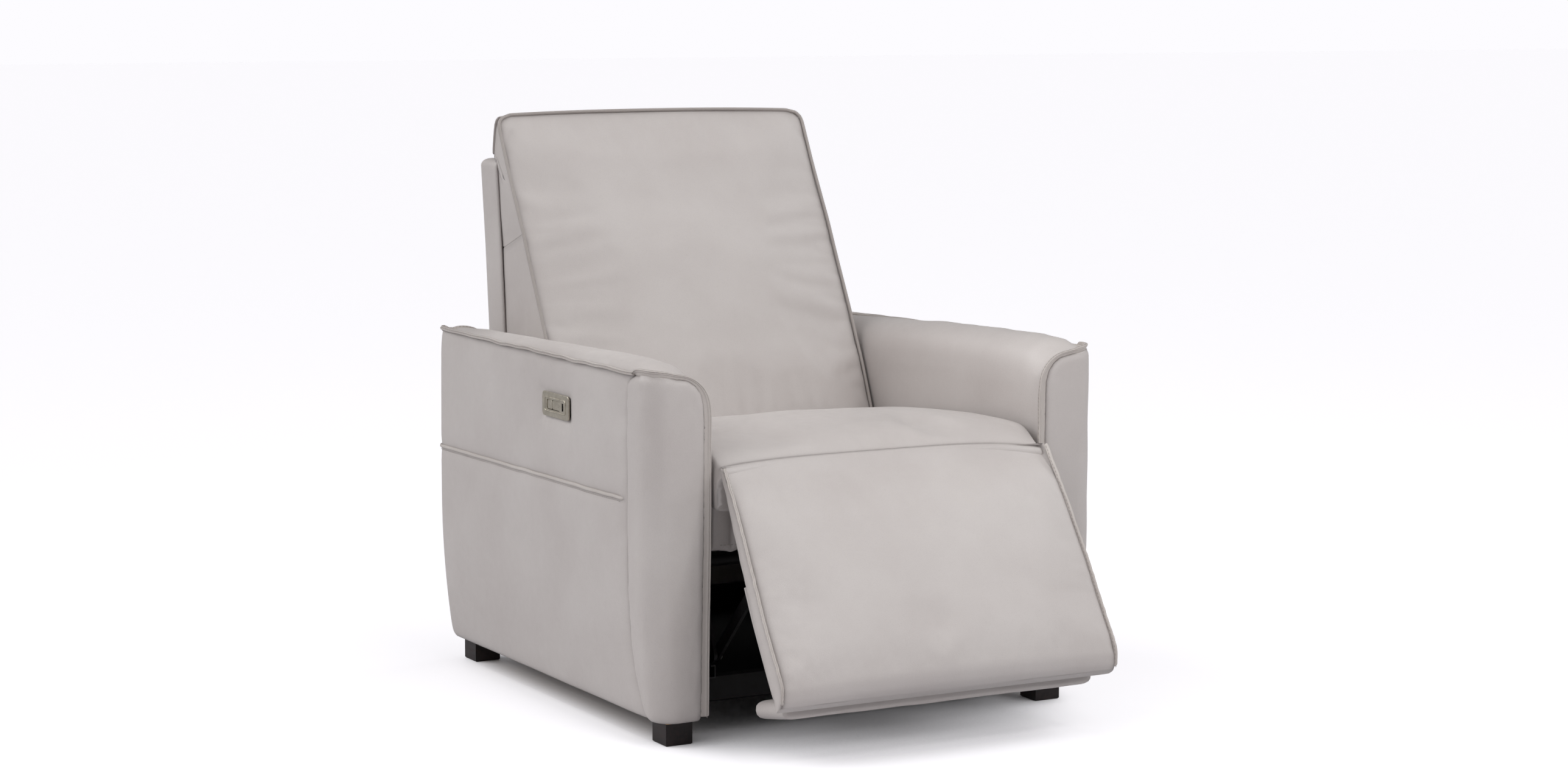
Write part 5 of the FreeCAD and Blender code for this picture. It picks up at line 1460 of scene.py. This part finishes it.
def apronCover():
    half, low, high, face, edge = (apron[k] for k in ("half", "low", "high", "face", "edge"))
    inlet = [apron["inletX"] - apron["inletHalf"], apron["inletX"] + apron["inletHalf"]]
    levels = [apron["inletZ"] - apron["inletTall"], apron["inletZ"] + apron["inletTall"]]
    xs = spreadAround(-half, half, 0.016, [-half, half] + inlet, 0.003, 0.012)
    rounds = [(edge * (1 - sin(turn)), edge * (1 - cos(turn))) for turn in [0.0] + quarterTurns(5)]
    line = [(face - apron["depth"], low)] + [(face - left, low + drop) for left, drop in rounds[:-1]]
    line += [(face, z) for z in spreadAround(low + edge, high - edge, 0.010, levels, 0.003, 0.008)]
    line += [(face - drop, high - left) for left, drop in rounds[1:]] + [(face - apron["depth"], high)]
    rows = []
    for depth, z in line:
        row = []
        for x in xs:
            fromEdge = min(half - abs(x), z - low, high - z)
            puff = 0.0035 * rollIn(fromEdge, 0.02)
            puff += 0.0016 * wave(x, 0, z, 0.07, 190.0) * rollIn(fromEdge, 0.01)
            puff -= (puff + 0.0010) * exp(-max(fromInlet(x, z), 0.0) / 0.006)
            row.append(atDepth(x, depth + puff, z))
        rows.append(row)
    piece = coverPiece("rear_apron_cover", rows, leather, atDepth(0, 0.80, 0.12), apron["thick"],
                       clearOfInlet)
    # painted shade along the apron's upper and lower edges
    paintSeamShade(piece, [[atDepth(x, face, z) for x in (-half, half)] for z in (low, high)], 0.004, 0.6)
    return piece


def stretchedCloth(name, place):
    # a thin black cloth, its black standing in for shade; place gives a point from shares across and along
    rows = [[place(s, t) for s in spread(0.0, 1.0, 1 / 24)] for t in spread(0.0, 1.0, 1 / 30)]
    piece = newPiece(name, flattened(rows), gridFaces(len(rows), len(rows[0])), liner)
    settle(walled(piece, shadeCloth["thick"], 0.0))
    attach(piece, "base")


def shadeClothPlace(share, along):
    hang = sin(pi * share) * sin(pi * along)
    return atDepth(mix(-shadeCloth["half"], shadeCloth["half"], share), mix(shadeCloth["front"], shadeCloth["rear"], along),
                   shadeCloth["height"] - shadeCloth["sag"] * hang + 0.0008 * wave(share, along, 0, 0.08, 200.0))


# a lining over the arm's lower inner face, black to stand in for the shade inside the arm
def liningFor(side):
    def place(share, along):
        ease = 0.0012 * wave(share, along, side, 0.12, 210.0)
        return atDepth(side * (lining["x"] + ease), mix(lining["front"], lining["rear"], along),
                       mix(lining["low"], lining["high"], share))

    stretchedCloth(sideNames[side] + "_arm_shade_lining", place)


dress(apronCover(), "base", ["rear_apron"], apron["fill"])
stretchedCloth("shade_cloth", shadeClothPlace)
for side in (-1, 1):
    liningFor(side)
print("apron and linings dressed")


# Stitches along the seams, rivet heads on the linkage, and a raised rim round the switch's buttons

rivets = {
    "seat": [(0.2890, -0.262, 0.140), (0.2890, -0.110, 0.140), (0.2890, 0.060, 0.140),
             (0.2890, 0.225, 0.140), (0.2890, -0.262, 0.300), (0.2890, 0.225, 0.300)],
    "crank": [(0.2515, -0.2377, 0.1295)],
    "footrest": [(0.2515, -0.4157, 0.3115)],
}
rim = {"face": 0.4325, "depth": 0.3525, "height": 0.531, "halfLength": 0.0405, "halfTall": 0.0118,
       "corner": 0.0045, "stand": 0.0011, "halfWide": 0.0012}


def switchRim():
    corner = rim["corner"]
    path = []
    for signY, signZ, start in ((1, 1, 0), (-1, 1, 90), (-1, -1, 180), (1, -1, 270)):
        for k in range(7):
            angle = radians(start + 15 * k)
            depth = rim["depth"] + signY * (rim["halfLength"] - corner) + corner * cos(angle)
            z = rim["height"] + signZ * (rim["halfTall"] - corner) + corner * sin(angle)
            path.append(atDepth(-rim["face"], depth, z))
    path = evenPath(path + path[:2], 0.002)
    section = roundSection(rim["stand"], rim["halfWide"], 8)
    return strip("switch_rim", path, [(-1, 0, 0)] * len(path), section, nickel)


stitched = stitchTree()
riveted = rivetTree()
for body, lines in stitchLines.items():
    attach(madeByNodes(body + "_stitches", lines, stitched, thread), body)
for body, places in rivets.items():
    points = [[(x * side, y, z)] for x, y, z in places for side in (-1, 1)]
    heads = madeByNodes(body + "_rivets", points, riveted, zincSteel)
    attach(heads, body)
rimPiece = switchRim()
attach(rimPiece, "base")
print("stitches, rivets and rim made")


# Feet, frame, mechanism: the frame's own pieces with their finishes, black steel where none is named

finishNodes = [
    (espresso, ["foot_front_right", "foot_front_left", "foot_rear_right", "foot_rear_left"]),
    (timber, ["right_arm_frame", "left_arm_frame"]),
    (blackTimber, ["base_cross_rails", "seat_side_rails", "seat_cross_rails", "right_back_frame",
                   "left_back_frame", "back_cross_rails", "headrest_board"]),
    (zincSteel, ["foot_studs", "recline_pins", "seat_springs", "back_springs", "flap_hinge_leaves",
                 "flap_leaves", "footrest_rod", "recline_rod"]),
    (blackPlastic, ["power_supply", "power_inlet", "switch_housing", "footrest_drive", "recline_drive"]),
    (nickel, ["switch_bezel", "open_button", "close_button"]),
    (portShell, ["usb_port"]),
]
finishOf = {name: finish for finish, names in finishNodes for name in names}
for name, node in nodes.items():
    node.data.materials.clear()
    node.data.materials.append(finishOf.get(name, blackSteel))
print("frame finished")


# Studio: pale floor, soft light, camera

studio = {
    "floorHalf": 40.0, "floorTone": (0.615, 0.607, 0.625, 1), "floorGlow": 0.56,
    "backdrop": (0.982, 0.972, 1.0, 1), "air": 0.15, "aim": (0.0, 0.0, 0.4),
    "shadowReach": 0.5, "shadowLow": 0.06, "shadowHigh": 0.52,
    # name, direction, power, angle
    "suns": [("left_sun", (1.0, 0.1, -0.7), 0.675, 50.0), ("left_rear_sun", (0.9, -0.7, -0.7), 1.553, 50.0),
             ("right_sun", (-1.0, 0.1, -0.7), 0.833, 50.0)],
    # name, place, size, power, all aimed at the chair's middle
    "boxes": [("front_box", (0.4, -3.0, 2.4), 1.8, 55.8), ("top_box", (0.0, -0.3, 3.0), 2.0, 15.5)],
}
shot = {"place": (-2.81, -5.0236, 1.2594), "yaw": 0.5105, "pitch": 0.1258, "roll": 0.0036, "lens": 75.65}


def makeFloor():
    # its own glow, seen by the camera only, fades where the chair encloses it: a painted shadow under the
    # chair
    material, tree, shader, _ = newMaterial("pale_floor")
    enclosed = addNode(tree, "ShaderNodeAmbientOcclusion", {"Distance": studio["shadowReach"]})
    openness = addRange(tree, enclosed.outputs["AO"], 0.0, studio["floorGlow"], studio["shadowLow"],
                        studio["shadowHigh"])
    seen = addNode(tree, "ShaderNodeLightPath")
    glow = addNode(tree, "ShaderNodeMath", {0: openness, 1: seen.outputs["Is Camera Ray"]},
                   operation="MULTIPLY")
    setInputs(tree, shader, {
        "Base Color": studio["floorTone"], "Roughness": 1.0, "Specular IOR Level": 0.0,
        "Emission Color": studio["backdrop"], "Emission Strength": glow.outputs["Value"],
    })
    half = studio["floorHalf"]
    corners = [(-half, -half, 0), (half, -half, 0), (half, half, 0), (-half, half, 0)]
    newPiece("studio_floor", corners, [(0, 1, 2, 3)], material, inside=(0, 0, -1))


def makeAir():
    # what the camera sees past the floor is bright, while the air lights the chair more softly
    world = bpy.data.worlds.new("studio_air")
    world.use_nodes = True
    tree = world.node_tree
    air = tree.nodes["Background"]
    setInputs(tree, air, {"Color": studio["backdrop"], "Strength": studio["air"]})
    beyond = addNode(tree, "ShaderNodeBackground", {"Color": studio["backdrop"]})
    seen = addNode(tree, "ShaderNodeLightPath")
    choice = addNode(tree, "ShaderNodeMixShader",
                     {"Fac": seen.outputs["Is Camera Ray"], 1: air.outputs["Background"],
                      2: beyond.outputs["Background"]})
    setInputs(tree, tree.nodes["World Output"], {"Surface": choice.outputs["Shader"]})
    scene.world = world


def addLamp(name, kind, power, place, facing, **settings):
    lamp = bpy.data.lights.new(name, kind)
    lamp.energy = power
    for setting, value in settings.items():
        setattr(lamp, setting, value)
    holder = bpy.data.objects.new(name, lamp)
    holder.location = place
    holder.rotation_euler = Vector(facing).to_track_quat("-Z", "Y").to_euler()
    scene.collection.objects.link(holder)


def addCamera():
    yaw, pitch, roll = shot["yaw"], shot["pitch"], shot["roll"]
    ahead = Vector((sin(yaw) * cos(pitch), cos(yaw) * cos(pitch), -sin(pitch)))
    level = Vector((cos(yaw), -sin(yaw), 0.0))
    upright = level.cross(ahead)
    rightward = level * cos(roll) + upright * sin(roll)
    upward = upright * cos(roll) - level * sin(roll)
    lens = bpy.data.cameras.new("photo_camera")
    lens.lens = shot["lens"]
    lens.sensor_width = 36.0
    lens.clip_end = 100.0
    camera = bpy.data.objects.new("photo_camera", lens)
    rows = [[rightward[k], upward[k], -ahead[k], shot["place"][k]] for k in range(3)]
    camera.matrix_world = Matrix(rows + [[0, 0, 0, 1]])
    scene.collection.objects.link(camera)
    scene.camera = camera
    scene.view_settings.view_transform = "Standard"


makeFloor()
makeAir()
for name, direction, power, angle in studio["suns"]:
    addLamp(name, "SUN", power, (0, 0, 0), direction, angle=radians(angle))
for name, place, size, power in studio["boxes"]:
    addLamp(name, "AREA", power, place, Vector(studio["aim"]) - Vector(place), shape="SQUARE", size=size)
addCamera()
